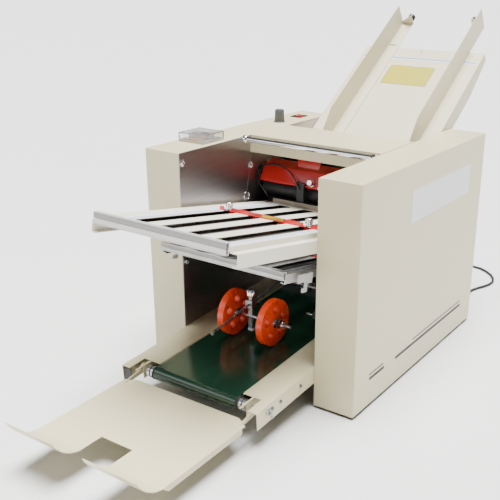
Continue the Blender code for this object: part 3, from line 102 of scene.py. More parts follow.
# %% Camera
azimuth, elevation, roll = map(math.radians, (32.915, 20.773, 0.869))
back = Vector((math.sin(azimuth) * math.cos(elevation),
               -math.cos(azimuth) * math.cos(elevation), math.sin(elevation)))
across = Vector((math.cos(azimuth), math.sin(azimuth), 0))
rise = back.cross(across)
right_way = across * math.cos(roll) + rise * math.sin(roll)
up_way = rise * math.cos(roll) - across * math.sin(roll)
camera = added("camera", bpy.data.cameras.new("camera"))
camera.matrix_world = shift(0.90178, -1.18998 + front, 0.8275) @ Matrix(
    (right_way, up_way, back)).transposed().to_4x4()
camera.data.lens = 56.84
camera.data.shift_x = -0.1007
camera.data.shift_y = 0.0402
camera.data.clip_end = 200
bpy.context.scene.camera = camera
print("camera at", [round(v, 3) for v in camera.location])

# %% [markdown]
# ## Finishes
# A finish is a small network: one noise shifts the colour a little, another the roughness,
# and a fine one the surface. The scale is in waves per metre, because every node's own
# coordinates are in metres. The next cells build one helper and then name each finish after
# the part of the machine that has it.


# %% A finish from noise
def put(node, **values):
    """Set a node's sockets by name, where _ stands for a space."""
    for socket, value in values.items():
        node.inputs[socket.replace("_", " ")].default_value = value


def finish(name, colour, rough, metal=0.0, vary=0.03, rough_vary=0.05, grain=60.0,
           stretch=(1, 1, 1), bump=0.02, bump_scale=900.0, **sockets):
    """A Principled finish whose colour, roughness and surface wander a little."""
    made = bpy.data.materials.new(name)
    made.use_nodes = True
    made.diffuse_color = (*colour, 1)
    nodes, links = made.node_tree.nodes, made.node_tree.links
    shader = nodes["Principled BSDF"]
    where = nodes.new("ShaderNodeTexCoord")
    scaled = nodes.new("ShaderNodeMapping")
    put(scaled, Scale=stretch)
    links.new(where.outputs["Object"], scaled.inputs["Vector"])
    cloud = nodes.new("ShaderNodeTexNoise")
    put(cloud, Scale=grain, Detail=5)
    links.new(scaled.outputs["Vector"], cloud.inputs["Vector"])
    tint = nodes.new("ShaderNodeValToRGB")
    for stop, position, share in zip(tint.color_ramp.elements, (0.3, 0.7),
                                     (1 - vary, 1 + vary)):
        stop.position = position
        stop.color = (*[min(c * share, 1) for c in colour], 1)
    links.new(cloud.outputs["Fac"], tint.inputs["Fac"])
    links.new(tint.outputs["Color"], shader.inputs["Base Color"])
    spread = nodes.new("ShaderNodeMapRange")
    put(spread, To_Min=max(rough - rough_vary, 0.02), To_Max=rough + rough_vary)
    links.new(cloud.outputs["Fac"], spread.inputs["Value"])
    links.new(spread.outputs["Result"], shader.inputs["Roughness"])
    fine = nodes.new("ShaderNodeTexNoise")
    put(fine, Scale=bump_scale, Detail=3)
    links.new(scaled.outputs["Vector"], fine.inputs["Vector"])
    press = nodes.new("ShaderNodeBump")
    put(press, Strength=bump, Distance=0.0006)
    links.new(fine.outputs["Fac"], press.inputs["Height"])
    links.new(press.outputs["Normal"], shader.inputs["Normal"])
    put(shader, **{"Metallic": metal, **sockets})
    return made


print("put() and finish() ready")

# %% [markdown]
# ## Painted sheet steel
# Housings, table, tray and guides are sheet steel in a cream powder coat: a soft gloss over
# a very fine orange peel. The feed table and its guides look paler in the photograph than
# the rest, so they have a second mix of the same paint.

# %% Cream powder coat
cream = finish("cream_powder_coat", (0.610, 0.550, 0.350), 0.38, vary=0.012, rough_vary=0.03,
               grain=9.0, bump=0.06, bump_scale=1500.0, Coat_Weight=0.12, Coat_Roughness=0.25)
table_cream = finish("table_powder_coat", (0.640, 0.590, 0.420), 0.42, vary=0.012,
                     rough_vary=0.03, grain=9.0, bump=0.05, bump_scale=1500.0)
print("paint finishes:", cream.name, table_cream.name)

# %% [markdown]
# ## Bare metals
# The side frames are zinc plated and brushed, so the grain is a noise that is stretched a
# long way up the plate. The tie rod and thumb screws are chromed, and the wheel carriage
# and its rod are duller steel. The rear fold plates are satin aluminium with the grain
# along their length, and the conveyor rollers are turned.

# %% Plated steel, chrome and aluminium
plated = finish("plated_steel", (0.400, 0.375, 0.385), 0.33, 1.0, vary=0.05,
                grain=40.0, stretch=(1, 0.25, 6), bump=0.035, bump_scale=420.0)
chrome = finish("polished_chrome", (0.80, 0.80, 0.81), 0.10, 1.0, vary=0.02, rough_vary=0.03,
                grain=40.0, bump=0.01)
dull_steel = finish("dull_steel", (0.34, 0.34, 0.35), 0.28, 1.0, vary=0.08, rough_vary=0.06,
                    grain=80.0, bump=0.03)
aluminium = finish("satin_aluminium", (0.68, 0.69, 0.70), 0.34, 1.0, vary=0.06,
                   rough_vary=0.08, grain=90.0, stretch=(0.15, 3, 3), bump=0.08,
                   bump_scale=500.0)
turned_metal = finish("turned_aluminium", (0.70, 0.71, 0.72), 0.26, 1.0, vary=0.05,
                      rough_vary=0.06, grain=300.0, stretch=(4, 0.3, 0.3), bump=0.10,
                      bump_scale=600.0)
print("metals:", plated.name, chrome.name, aluminium.name, turned_metal.name)

# %% [markdown]
# ## Rubber, belt and plastics
# Rubber is nearly black and matt. The belt is smooth PVC and mirrors the wheels above it, so
# its roughness is low. The wheels are moulded in bright orange, and the guard and stop bar
# carry a glossy red lacquer.

# %% Rubber and belt
rubber = finish("black_rubber", (0.022, 0.022, 0.024), 0.62, vary=0.18, rough_vary=0.08,
                grain=120.0, bump=0.10, bump_scale=1400.0)
roller_rubber = finish("roller_rubber", (0.030, 0.031, 0.034), 0.46, vary=0.20,
                       rough_vary=0.08, grain=90.0, stretch=(0.3, 1, 1), bump=0.14,
                       bump_scale=1100.0)
cord_rubber = finish("cord_sheath", (0.018, 0.018, 0.019), 0.45, vary=0.12, rough_vary=0.06,
                     grain=150.0, bump=0.05, bump_scale=1200.0)
belt_green = finish("green_belt", (0.011, 0.043, 0.023), 0.19, vary=0.16,
                    grain=14.0, stretch=(1, 0.35, 1), bump=0.03, bump_scale=700.0,
                    Coat_Weight=0.25, Coat_Roughness=0.12)
print("rubbers:", rubber.name, roller_rubber.name, cord_rubber.name, belt_green.name)

# %% Plastics and lacquers
orange = finish("orange_moulding", (0.950, 0.062, 0.007), 0.28, vary=0.06,
                grain=50.0, bump=0.04, Coat_Weight=0.1)
red = finish("red_lacquer", (0.640, 0.022, 0.020), 0.24, vary=0.06,
             grain=30.0, bump=0.03, Coat_Weight=0.3, Coat_Roughness=0.1)
switch_red = finish("switch_red", (0.560, 0.010, 0.022), 0.22, vary=0.04, rough_vary=0.03,
                    bump=0.01)
black = finish("black_plastic", (0.020, 0.020, 0.022), 0.40, vary=0.12, rough_vary=0.06,
               grain=80.0, bump=0.06, bump_scale=1200.0)
# This black paint is real on the motor, sensor and grub screws, and painted shade on the roller
# grooves.
paint_and_groove_shade = finish("black_paint", (0.028, 0.028, 0.031), 0.48, vary=0.12, rough_vary=0.06,
                    grain=50.0, bump=0.05)
grey = finish("grey_plastic", (0.085, 0.087, 0.089), 0.42, vary=0.06, grain=70.0,
              bump=0.05)
pale_grey = finish("counter_grey", (0.52, 0.51, 0.49), 0.40, vary=0.04)
print("plastics:", orange.name, red.name, switch_red.name, black.name, grey.name)

# %% Clear acrylic
clear = finish("clear_acrylic", (0.93, 0.94, 0.93), 0.05, vary=0.01, rough_vary=0.02,
               grain=40.0, bump=0.004, Transmission_Weight=0.92, IOR=1.49)
print("clear plastic for the counter's lid:", clear.name)

# %% [markdown]
# ## Helpers for small pieces
# Most fittings are either an outline pushed through a thickness, or a profile turned about
# an axis. Each helper builds the mesh with bmesh, softens its edges with a bevel, and makes
# the piece ride on the body that carries it.


# %% Put a piece on its body
small_crease = math.radians(38)
solid_crease = math.radians(36)


def soften(piece, width, steps, crease):
    edge = piece.modifiers.new("softened edges", "BEVEL")
    edge.width = width
    edge.segments = steps
    edge.limit_method = "ANGLE"
    edge.angle_limit = crease
    return edge


def place(name, work, material, body, axes, soft=0.0004, smooth=True):
    mesh = bpy.data.meshes.new(name)
    bmesh.ops.recalc_face_normals(work, faces=work.faces)
    work.to_mesh(mesh)
    work.free()
    mesh.materials.append(material)
    piece = added(name, mesh)
    piece.matrix_world = axes
    if smooth:
        mesh.shade_smooth()
        mesh.set_sharp_from_angle(angle=small_crease)
    if soft:
        soften(piece, soft, 2, small_crease).harden_normals = True
    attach(piece, body)
    return piece


print("soften() and place() ready")


# %% Push an outline through a thickness
def skin(work, rings):
    """Faces between each ring of points and the next."""
    for low, high in zip(rings, rings[1:]):
        for i in range(len(low)):
            j = (i + 1) % len(low)
            work.faces.new((low[i], low[j], high[j], high[i]))


def pressed(name, outline, thick, material, body, axes, soft=0.0004):
    """The outline lies in the axes' own x-y plane, and the piece stands on it."""
    work = bmesh.new()
    rings = [[work.verts.new((x, y, z)) for x, y in outline] for z in (0, thick)]
    skin(work, rings)
    work.faces.new(rings[0][::-1])
    work.faces.new(rings[1])
    return place(name, work, material, body, axes, soft)


def block(name, low, high, material, body, axes, soft=0.0006):
    outline = [(low[0], low[1]), (high[0], low[1]), (high[0], high[1]), (low[0], high[1])]
    return pressed(name, outline, high[2] - low[2], material, body,
                   axes @ shift(0, 0, low[2]), soft)


def rounded(low_x, low_y, high_x, high_y, radius, steps=5):
    corners = ((high_x - radius, high_y - radius, 0), (low_x + radius, high_y - radius, 90),
               (low_x + radius, low_y + radius, 180), (high_x - radius, low_y + radius, 270))
    return [(x + radius * math.cos(math.radians(a + 90 * i / steps)),
             y + radius * math.sin(math.radians(a + 90 * i / steps)))
            for x, y, a in corners for i in range(steps + 1)]


print("skin(), pressed(), block() and rounded() ready")


# %% Turn a profile about an axis
def spun(name, profile, material, body, axes, sides=28, soft=0.0, flutes=0, depth=0.0):
    """profile holds (height, radius) pairs up the axes' own z; flutes press grooves in."""
    work = bmesh.new()
    rings = []
    for height, radius in profile:
        ring = []
        for i in range(sides):
            turn = 2 * math.pi * i / sides
            cut = depth * (0.5 + 0.5 * math.cos(flutes * turn)) if flutes else 0.0
            reach = max(radius - cut, 0.00005)
            ring.append(work.verts.new((reach * math.cos(turn), reach * math.sin(turn),
                                        height)))
        rings.append(ring)
    skin(work, rings)
    work.faces.new(rings[0][::-1])
    work.faces.new(rings[-1])
    return place(name, work, material, body, axes, soft)


def facing(x, y, z, way):
    """Axes at a point counted from the housings' front, with their z along way."""
    turn = Vector(way).to_track_quat("Z", "Y").to_matrix().to_4x4()
    return shift(x, front + y, z) @ turn


print("spun() and facing() ready")


# %% Bend a wire along points
def round_line(name, kind, points, radius, material):
    line = bpy.data.curves.new(name, "CURVE")
    line.dimensions = "3D"
    line.bevel_depth = radius
    line.bevel_resolution = 4
    line.use_fill_caps = True
    spline = line.splines.new(kind)
    spline.points.add(len(points) - 1)
    for point, spot in zip(spline.points, points):
        point.co = (*spot, 1)
    line.materials.append(material)
    return line, spline


def wire(name, points, radius, material, body):
    line, spline = round_line(name, "NURBS", points, radius, material)
    spline.use_endpoint_u = True
    spline.order_u = 4
    line.resolution_u = 6
    piece = added(name, line)
    piece.matrix_world = upright
    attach(piece, body)


print("round_line() and wire() ready")

# %% [markdown]
# ## Mains lead
# The photograph shows one loop of black lead on the table behind the right housing. The
# route goes straight out of the strain relief, falls to the table, runs round that loop and
# ends in a two-layer coil behind the machine, where the camera can't see it. The coil's
# turns lie 0.7 mm clear of each other, wind in below and out above.

# %% Points of the lead
lead_radius, turn_gap, table_gap = 0.0035, 0.0007, 0.0003
turn_pitch = 2 * lead_radius + turn_gap
lead_low = lead_radius + table_gap
coil_x, coil_y, coil_turns, coil_middle = 0.030, 0.780, 4.5, 0.042
coil_outer = coil_middle + turn_pitch * coil_turns / 4
falling = [(0.205, 0.6283, 0.085), (0.205, 0.6353, 0.085),
           (0.2050, 0.6460, 0.0836), (0.2048, 0.6570, 0.0770), (0.2044, 0.6690, 0.0610),
           (0.2038, 0.6790, 0.0420), (0.2030, 0.6890, 0.0230), (0.2020, 0.7020, 0.0095),
           (0.2005, 0.7190, 0.0043)]
lying = [(0.1985, 0.7380), (0.1965, 0.7580), (0.1975, 0.7800), (0.2040, 0.8020),
         (0.2135, 0.8230), (0.2210, 0.8470), (0.2220, 0.8730), (0.2130, 0.8990),
         (0.1980, 0.9220), (0.1780, 0.9410), (0.1540, 0.9560), (0.1280, 0.9610),
         (0.1040, 0.9530), (0.0880, 0.9350), (0.0815, 0.9110), (0.0808, 0.8850),
         (0.0808, 0.8600), (0.0808, 0.8350)]
lead = [Vector(p) for p in falling + [(x, y, 0.0037) for x, y in lying]]
for ahead in (0.016, 0.007):
    lead.append(Vector((coil_x + coil_outer, coil_y + ahead, lead_low)))
print("points before the coil:", len(lead))

# %% Turns of the coil and its tail
turn_points, climb_points = 24, 12
steps = int(coil_turns * turn_points)
for i in range(steps + 1):
    turn = -2 * math.pi * i / turn_points
    reach = coil_outer - turn_pitch * min(i, steps - i) / turn_points
    climb = min(max((i - steps / 2 + climb_points / 2) / climb_points, 0), 1)
    lead.append(Vector((coil_x + reach * math.cos(turn), coil_y + reach * math.sin(turn),
                        lead_low + turn_pitch * climb * climb * (3 - 2 * climb))))
tail_way = lead[-1] - lead[-2]
tail_way.z = 0
tail_way.normalize()
tail = lead[-1].copy()
tail_length, tail_points, plug_height = 0.060, 6, 0.0168
for i in range(1, tail_points + 1):
    climb = min(i / (tail_points - 1), 1)
    spot = tail + tail_way * tail_length * i / tail_points
    spot.z += (plug_height - tail.z) * climb * climb * (3 - 2 * climb)
    lead.append(spot)

# %% Sheath and tie
route = [(spot.x, spot.y + front, spot.z) for spot in lead]
sheath = round_line("mains_lead", "POLY", route, lead_radius, cord_rubber)[0]
mains_lead = added("mains_lead", sheath)
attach(mains_lead, "chassis")
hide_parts("cord_free", "cord_coil")
tie = spun("lead_tie", [(-0.006, 0.0092), (-0.005, 0.0098), (0.005, 0.0098), (0.006, 0.0092)],
           black, "chassis", facing(coil_x, coil_y - coil_middle, 0.0100, (1, 0, 0)))

# %% [markdown]
# ## Finishing the solids
# The solids keep their shapes, but bare CAD edges look too sharp. Three modifiers help them
# without touching the mesh: the first joins its loose triangles and marks the real edges,
# the second rounds those edges by a millimetre at most, and the third weighs the
# normals, so that big faces stay flat and round ones look round.


# %% One shading group for every solid
def edge_group():
    group = bpy.data.node_groups.new("joined_and_smooth", "GeometryNodeTree")
    group.interface.new_socket("Geometry", in_out="INPUT", socket_type="NodeSocketGeometry")
    group.interface.new_socket("Geometry", in_out="OUTPUT", socket_type="NodeSocketGeometry")
    nodes, links = group.nodes, group.links
    start, end = nodes.new("NodeGroupInput"), nodes.new("NodeGroupOutput")
    join = nodes.new("GeometryNodeMergeByDistance")
    put(join, Distance=0.00001)
    angle = nodes.new("GeometryNodeInputMeshEdgeAngle")
    sharp = nodes.new("FunctionNodeCompare")
    sharp.operation = "GREATER_THAN"
    put(sharp, B=solid_crease)
    links.new(angle.outputs["Unsigned Angle"], sharp.inputs["A"])
    shade = nodes.new("GeometryNodeSetMeshNormal")
    put(shade, Remove_Custom=True)
    links.new(start.outputs[0], join.inputs["Geometry"])
    links.new(join.outputs["Geometry"], shade.inputs["Mesh"])
    links.new(sharp.outputs["Result"], shade.inputs["Edge Sharpness"])
    links.new(shade.outputs["Mesh"], end.inputs[0])
    return group


joined = edge_group()
print("shading group:", joined.name)


# %% Dress a solid
def dress(names, material, soft=0.0005, steps=2):
    for name in names:
        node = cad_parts[name]
        node.data.materials.clear()
        node.data.materials.append(material)
        shade = node.modifiers.new("joined and smooth", "NODES")
        shade.node_group = joined
        soften(node, soft, steps, solid_crease)
        weigh = node.modifiers.new("weighed normals", "WEIGHTED_NORMAL")
        weigh.keep_sharp = True
    print(material.name, "on", len(names), "solids")


dress(["left_housing", "right_housing"], cream, 0.0010, 3)
dress(["top_cover", "rear_panel"], cream)
dress(["feed_table", "left_side_guide", "right_side_guide"], table_cream, 0.0004)
dress(["exit_tray", "conveyor_frame"], cream, 0.0004)
dress(["left_frame_plate", "right_frame_plate"], plated, 0.0008)
dress(["front_tie_rod"], chrome, 0.0006)
dress(["rear_upper_fold_plate", "rear_lower_fold_plate"], aluminium, 0.0003)

# %% Working parts inside
rollers = [f"fold_roller_{i}" for i in range(1, 7)]
gears = [f"roller_gear_{i}" for i in range(1, 7)]
dress(rollers + ["feed_roller"], roller_rubber)
dress(gears + ["motor_pulley"], plated, 0.0003)
dress(["roller_guard", "upper_stop_bar", "lower_stop_bar"], red, 0.0004)
dress(["conveyor_belt"], belt_green, 0.0003)
dress(["conveyor_front_roller", "conveyor_rear_roller"], turned_metal, 0.0006)
dress(["press_wheel_left", "press_wheel_right"], orange, 0.0007, 3)
dress(["wheel_carriage", "wheel_rod"], dull_steel)
dress(["upper_stop_knob_left", "upper_stop_knob_right"], chrome, 0.0004)
dress(["separator_pad", "drive_belt", "foot_front_left", "foot_front_right",
       "foot_rear_left", "foot_rear_right"], rubber)
dress(["drive_motor", "sheet_sensor"], paint_and_groove_shade, 0.0006)
dress(["cord_strain_relief", "cord_plug"], black, 0.0006)

# %% Controls
dress(["left_guide_knob", "right_guide_knob"], black)
dress(["speed_knob"], grey, 0.0006)
dress(["rocker_switch"], switch_red, 0.0006, 3)
dress(["counter_base"], pale_grey)
dress(["counter_lid"], clear, 0.0004)
left_out = [n for n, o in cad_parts.items() if not o.modifiers]
print("solids that a piece replaces:", left_out)

# %% [markdown]
# ## Several finishes on one solid
# Each front fold plate is one solid, but the real one is painted slats (pale on the upper plate,
# grey on the lower) and a bare aluminium channel, with shade between its sheets. A finish can
# tell them apart by place: the object's own coordinates go through a Mapping node that turns
# them into the plate's axes, and a comparison of one of these with a number lays one colour
# over another. The shade is painted: near black in the depths, and a dim cream on a thin band
# at a set depth. Nothing there depends on the camera.


# %% Plate coordinates inside a finish
def plate_places(tree, axes):
    """x, s and n of a point in the sloping axes, as three sockets."""
    nodes, links = tree.nodes, tree.links
    where = nodes.new("ShaderNodeTexCoord")
    turn = nodes.new("ShaderNodeMapping")
    turn.vector_type = "TEXTURE"
    put(turn, Location=axes.to_translation(), Rotation=axes.to_euler())
    apart = nodes.new("ShaderNodeSeparateXYZ")
    links.new(where.outputs["Object"], turn.inputs["Vector"])
    links.new(turn.outputs["Vector"], apart.inputs["Vector"])
    return apart.outputs["X"], apart.outputs["Y"], apart.outputs["Z"]


def compare(tree, kind, first, second):
    step = tree.nodes.new("ShaderNodeMath")
    step.operation = kind
    for socket, value in zip(step.inputs, (first, second)):
        if isinstance(value, bpy.types.NodeSocket):
            tree.links.new(value, socket)
        else:
            socket.default_value = value
    return step.outputs["Value"]


print("plate_places() and compare() ready")


# %% Paint outside, bare channel, painted shade within
# Painted shade: a little below the slat face the plate turns near black, and a band between the
# two rim depths gets a dim cream.
channel_end, shade_below = 0.0012, -0.0003
rim_low, rim_high = -0.0021, -0.0012
rim_shade_colour, bare_colour = (0.24, 0.22, 0.18), (0.60, 0.60, 0.59)


def plate_finish(name, axes, slat, inside_shade, half):
    """Slat paint, with a bare channel in front (s below channel_end) and painted shade below the
    slat face.
    """
    made = finish(name, slat, 0.40, vary=0.015, rough_vary=0.03, grain=9.0, bump=0.04,
                  bump_scale=1500.0)
    tree = made.node_tree
    x, s, n = plate_places(tree, axes)
    shader = tree.nodes["Principled BSDF"]
    last = shader.inputs["Base Color"].links[0].from_socket
    bare = compare(tree, "LESS_THAN", s, channel_end)
    side = compare(tree, "LESS_THAN", compare(tree, "ABSOLUTE", x, 0), half)
    # Masks for painted shade: the near-black depths and the dim cream band.
    deep = compare(tree, "MULTIPLY", compare(tree, "LESS_THAN", n, shade_below), side)
    shade_mask = compare(tree, "MULTIPLY", deep, compare(tree, "GREATER_THAN", s, channel_end))
    rim = compare(tree, "MULTIPLY", compare(tree, "LESS_THAN", n, rim_high), side)
    rim = compare(tree, "MULTIPLY", rim, compare(tree, "GREATER_THAN", n, rim_low))
    for mask, colour in ((shade_mask, inside_shade), (rim, rim_shade_colour), (bare, bare_colour)):
        mix = tree.nodes.new("ShaderNodeMix")
        mix.data_type = "RGBA"
        put(mix, B=(*colour, 1))
        tree.links.new(mask, mix.inputs["Factor"])
        tree.links.new(last, mix.inputs["A"])
        last = mix.outputs["Result"]
    tree.links.new(last, shader.inputs["Base Color"])
    tree.links.new(compare(tree, "MULTIPLY", bare, 0.4), shader.inputs["Metallic"])
    return made


# The second colour of each plate is painted shade, near black, for its depths.
upper_paint_and_shade = plate_finish("upper_plate_paint_and_shade", upper, (0.740, 0.700, 0.585),
                           (0.045, 0.043, 0.040), 0.1497)
lower_paint_and_shade = plate_finish("lower_plate_paint_and_shade", lower, (0.42, 0.415, 0.40),
                           (0.04, 0.04, 0.04), 0.1478)
dress(["upper_fold_plate"], upper_paint_and_shade, 0.0003)
dress(["lower_fold_plate"], lower_paint_and_shade, 0.0003)

# %% [markdown]
# ## Rulers
# White scales with blue ticks lie on both edges of each fold plate and across the feed table,
# so that stops and guides are set by eye. A texture would need an image; a thin strip with
# small raised ticks gives the same look from every side, with no numbers needed.

# %% Scale material
scale_white = finish("scale_white", (0.72, 0.76, 0.83), 0.35, vary=0.02, rough_vary=0.04)
scale_blue = finish("scale_blue", (0.06, 0.11, 0.26), 0.40, vary=0.08, grain=90.0)
print("scale finishes:", scale_white.name, scale_blue.name)


# %% A strip with ticks
tick_step, tick_start, strip_thick, strip_lift = 0.005, 0.46, 0.0004, 0.00005
long_tick, short_tick = (0.52, 0.0008), (0.34, 0.0006)  # share of the width, half thickness


def scale(name, length, width, axes, edge):
    """The strip runs along its axes' y from 0; ticks start from the +x (1) or -x edge."""
    work = bmesh.new()

    def slab(low, high, which):
        corners = bmesh.ops.create_cube(work, size=1)["verts"]
        size = [b - a for a, b in zip(low, high)]
        middle = Vector([(a + b) / 2 for a, b in zip(low, high)])
        bmesh.ops.transform(work, verts=corners,
                            matrix=Matrix.Translation(middle) @ Matrix.Diagonal((*size, 1)))
        for face in {f for v in corners for f in v.link_faces}:
            face.material_index = which

    slab((-width / 2, 0, 0), (width / 2, length, strip_thick), 0)
    for i in range(1, int(length / tick_step)):
        share, half = short_tick if i % 2 else long_tick
        ends = sorted((edge * width * tick_start,
                       edge * (width * tick_start - width * share)))
        slab((ends[0], i * tick_step - half, strip_thick * 0.5),
             (ends[1], i * tick_step + half, strip_thick * 1.15), 1)
    piece = place(name, work, scale_white, "chassis", axes, 0, smooth=False)
    piece.data.materials.append(scale_blue)


for name, length, width, axes, x, edge in (
        ("plate_scale_left", 0.500, 0.024, upper, -0.108, 1),
        ("plate_scale_right", 0.500, 0.018, upper, 0.1395, -1),
        ("lower_scale_left", 0.330, 0.016, lower, -0.112, 1),
        ("lower_scale_right", 0.330, 0.016, lower, 0.1395, -1)):
    scale(name, length, width, axes @ shift(x, 0.012, strip_lift), edge)
sideways = Matrix.Rotation(math.radians(-90), 4, "Z")
scale("table_scale", 0.320, 0.011, table @ shift(-0.162, 0.2560, strip_lift) @ sideways, -1)
print("scales on both fold plates and the feed table")

# %% [markdown]
# ## Labels
# The real machine has a pale name plate on its side, a yellow label on the table and a
# yellow strip on the stop bar. Only their shapes and colours are kept: each is a thin sheet
# with rounded corners and no words at all.

# %% Name plate without a name
label_pale = finish("label_pale", (0.680, 0.690, 0.680), 0.30, vary=0.05, grain=7.0,
                    bump=0.01)
label_yellow = finish("label_yellow", (0.440, 0.385, 0.000), 0.50, vary=0.04, grain=30.0)
# The dark finish is print on the stripes and the label border, and painted shade in the slot and
# vents that stand for openings.
dark_print_and_slot_shade = finish("dark_print_and_slot_shade", (0.006, 0.006, 0.007), 0.55, vary=0.05, grain=30.0)
right_side = shift(0.260, front, 0) @ Matrix(
    ((0, 0, 1, 0), (1, 0, 0, 0), (0, 1, 0, 0), (0, 0, 0, 1)))
pressed("side_label", rounded(0.210, 0.352, 0.512, 0.421, 0.004), 0.0005, label_pale,
        "chassis", right_side, 0.0002)
print("label on the right side, 302 by 69 mm")

# %% Stripes under it
for i, (y0, y1, z, tall) in enumerate(((0.059, 0.120, 0.0765, 0.0028),
                                       (0.060, 0.124, 0.0665, 0.0064),
                                       (0.175, 0.525, 0.0655, 0.0064),
                                       (0.256, 0.523, 0.0765, 0.0028))):
    pressed(f"side_stripe_{i + 1}", rounded(y0, z - tall / 2, y1, z + tall / 2, tall * 0.2, 2),
            0.0003, dark_print_and_slot_shade, "chassis", right_side, 0)
print("four stripes low on the right side")

# %% Yellow labels
pressed("table_label_edge", rounded(-0.064, 0.155, 0.062, 0.227, 0.003), 0.00012, dark_print_and_slot_shade,
        "chassis", table, 0)
pressed("table_label", rounded(-0.063, 0.156, 0.061, 0.226, 0.0025), 0.0002, label_yellow,
        "chassis", table, 0)
pressed("stop_label", rounded(0.008, 0.2999, 0.050, 0.3089, 0.001), 0.0004, label_yellow,
        "upper_stop", upper @ shift(0, 0, 0.0023), 0)
print("yellow labels on the table and the stop bar")

# %% [markdown]
# ## Screws and nuts
# Dozens of small fasteners hold the machine together. A turned profile with six sides makes
# a hexagon nut, and a second helper makes a round head with a cross in it. They sit a little
# into the sheet they hold, so that no gap shows behind them.


# %% Nuts and pan heads
def nut(name, size, tall, material, body, axes, bore=0.0):
    ring = [(-0.0004, size * 0.97), (tall * 0.82, size), (tall, size * 0.90)]
    if bore:
        ring += [(tall, bore), (tall * 0.7, bore * 0.9)]
    return spun(name, ring, material, body, axes, sides=6, soft=0.0002)


def pan_head(name, size, tall, material, body, axes):
    """A round head with a cross recess pressed into its crown."""
    work = bmesh.new()
    rings, points = [], 24
    for height, reach in ((-0.0004, 1.0), (tall * 0.35, 1.0), (tall * 0.75, 0.86),
                          (tall * 0.97, 0.55), (tall, 0.28)):
        ring = []
        for i in range(points):
            turn = 2 * math.pi * i / points
            sunk = tall * 0.55 if reach < 0.6 and i % 6 == 0 else 0.0
            ring.append(work.verts.new((size * reach * math.cos(turn),
                                        size * reach * math.sin(turn), height - sunk)))
        rings.append(ring)
    skin(work, rings)
    middle = work.verts.new((0, 0, tall * 0.45))
    for i in range(points):
        work.faces.new((rings[-1][i], rings[-1][(i + 1) % points], middle))
    work.faces.new(rings[0][::-1])
    return place(name, work, material, body, axes, 0)


print("nut() and pan_head() ready")

# %% [markdown]
# ## Side frames
# Each plated side frame carries six socket bolts, and the left one a sprung wire hook for
# the fold plate. Behind the hook the sheet has a seam, where its rear half overlaps. The seam
# is one thin raised strip, which catches the light as a folded edge does.

# %% Bolts on both side frames
for side, word in ((-1, "left"), (1, "right")):
    face_x = side * inner
    inward = (-side, 0, 0)
    for i, (y, z) in enumerate(((0.010, 0.4554), (0.245, 0.4072), (0.012, 0.240),
                                (0.012, 0.060), (0.430, 0.300), (0.430, 0.180))):
        axes = facing(face_x, y, z, inward)
        spun(f"{word}_frame_washer_{i + 1}", [(-0.0004, 0.0075), (0.0010, 0.0075),
                                              (0.0012, 0.0070)], chrome, "chassis", axes)
        nut(f"{word}_frame_bolt_{i + 1}", 0.0052, 0.0042, chrome, "chassis",
            facing(face_x - side * 0.0012, y, z, inward), bore=0.0026)
print("six bolts on each side frame")

# %% Wire hook and seam
loop_y, loop_z, loop_radius = 0.2274, 0.3383, 0.0095
hook = [(-inner + 0.0012, loop_y + loop_radius * math.cos(a), loop_z + loop_radius * math.sin(a))
        for a in [math.radians(d) for d in range(-80, 241, 20)]]
hook.append((-inner + 0.0014, 0.2150, 0.3215))
wire("frame_hook", hook, 0.0013, chrome, "chassis")
seam_y, seam_z = 0.2262, 0.3376
seam_slope = math.atan2(0.4477 - seam_z, 0.2528 - seam_y)
seam = shift(-inner - 0.0003, front + seam_y, seam_z) @ Matrix.Rotation(
    seam_slope, 4, "X")
block("frame_seam", (0, 0, -0.0012), (0.0009, 0.1130, 0), plated, "chassis", seam, 0.0003)
print("hook and seam on the left side frame")

# %% [markdown]
# ## Tie rod
# The chromed rod across the front is held by a collar at each end, screwed to the frame.

# %% Collars of the tie rod
_, tie_y, tie_z = middle_of("front_tie_rod")
tie_y -= front
for side, word in ((-1, "left"), (1, "right")):
    axes = facing(side * (inner - 0.0003), tie_y, tie_z, (-side, 0, 0))
    spun(f"tie_collar_{word}", [(0, 0.0064), (0, 0.0088), (0.0075, 0.0088), (0.0085, 0.0082),
                                (0.0085, 0.0063)], chrome, "chassis", axes, sides=32)
    pan_head(f"tie_screw_{word}", 0.0032, 0.0022, chrome, "chassis",
             facing(side * (inner - 0.0050), tie_y - 0.0088, tie_z, (0, -1, 0)))
print("collars at both ends of the tie rod")

# %% [markdown]
# ## Guard over the rollers
# Two thin leads pass the red guard, which also has a black end cap, a tongue, and two thumb
# screws that set how close the gate stands to the first roller. The leads are smooth curves
# through the places where the photograph shows them.

# %% Leads of the sensor
wire("sensor_lead", [(-0.1559, 0.2845, 0.4013), (-0.1440, 0.2835, 0.4065),
                     (-0.1274, 0.2820, 0.4088), (-0.0960, 0.2770, 0.4068),
                     (-0.0744, 0.2715, 0.3980), (-0.0585, 0.2660, 0.3842),
                     (-0.0470, 0.2625, 0.3720), (-0.0440, 0.2625, 0.3640)],
     0.0017, rubber, "chassis")
wire("gate_lead", [(-0.1575, 0.2850, 0.4013), (-0.1640, 0.2760, 0.3900),
                   (-0.1610, 0.2690, 0.3760), (-0.1585, 0.2655, 0.3630),
                   (-0.1480, 0.2615, 0.3530), (-0.1380, 0.2600, 0.3460),
                   (-0.1310, 0.2600, 0.3370)], 0.0016, rubber, "chassis")
print("two leads at the guard")

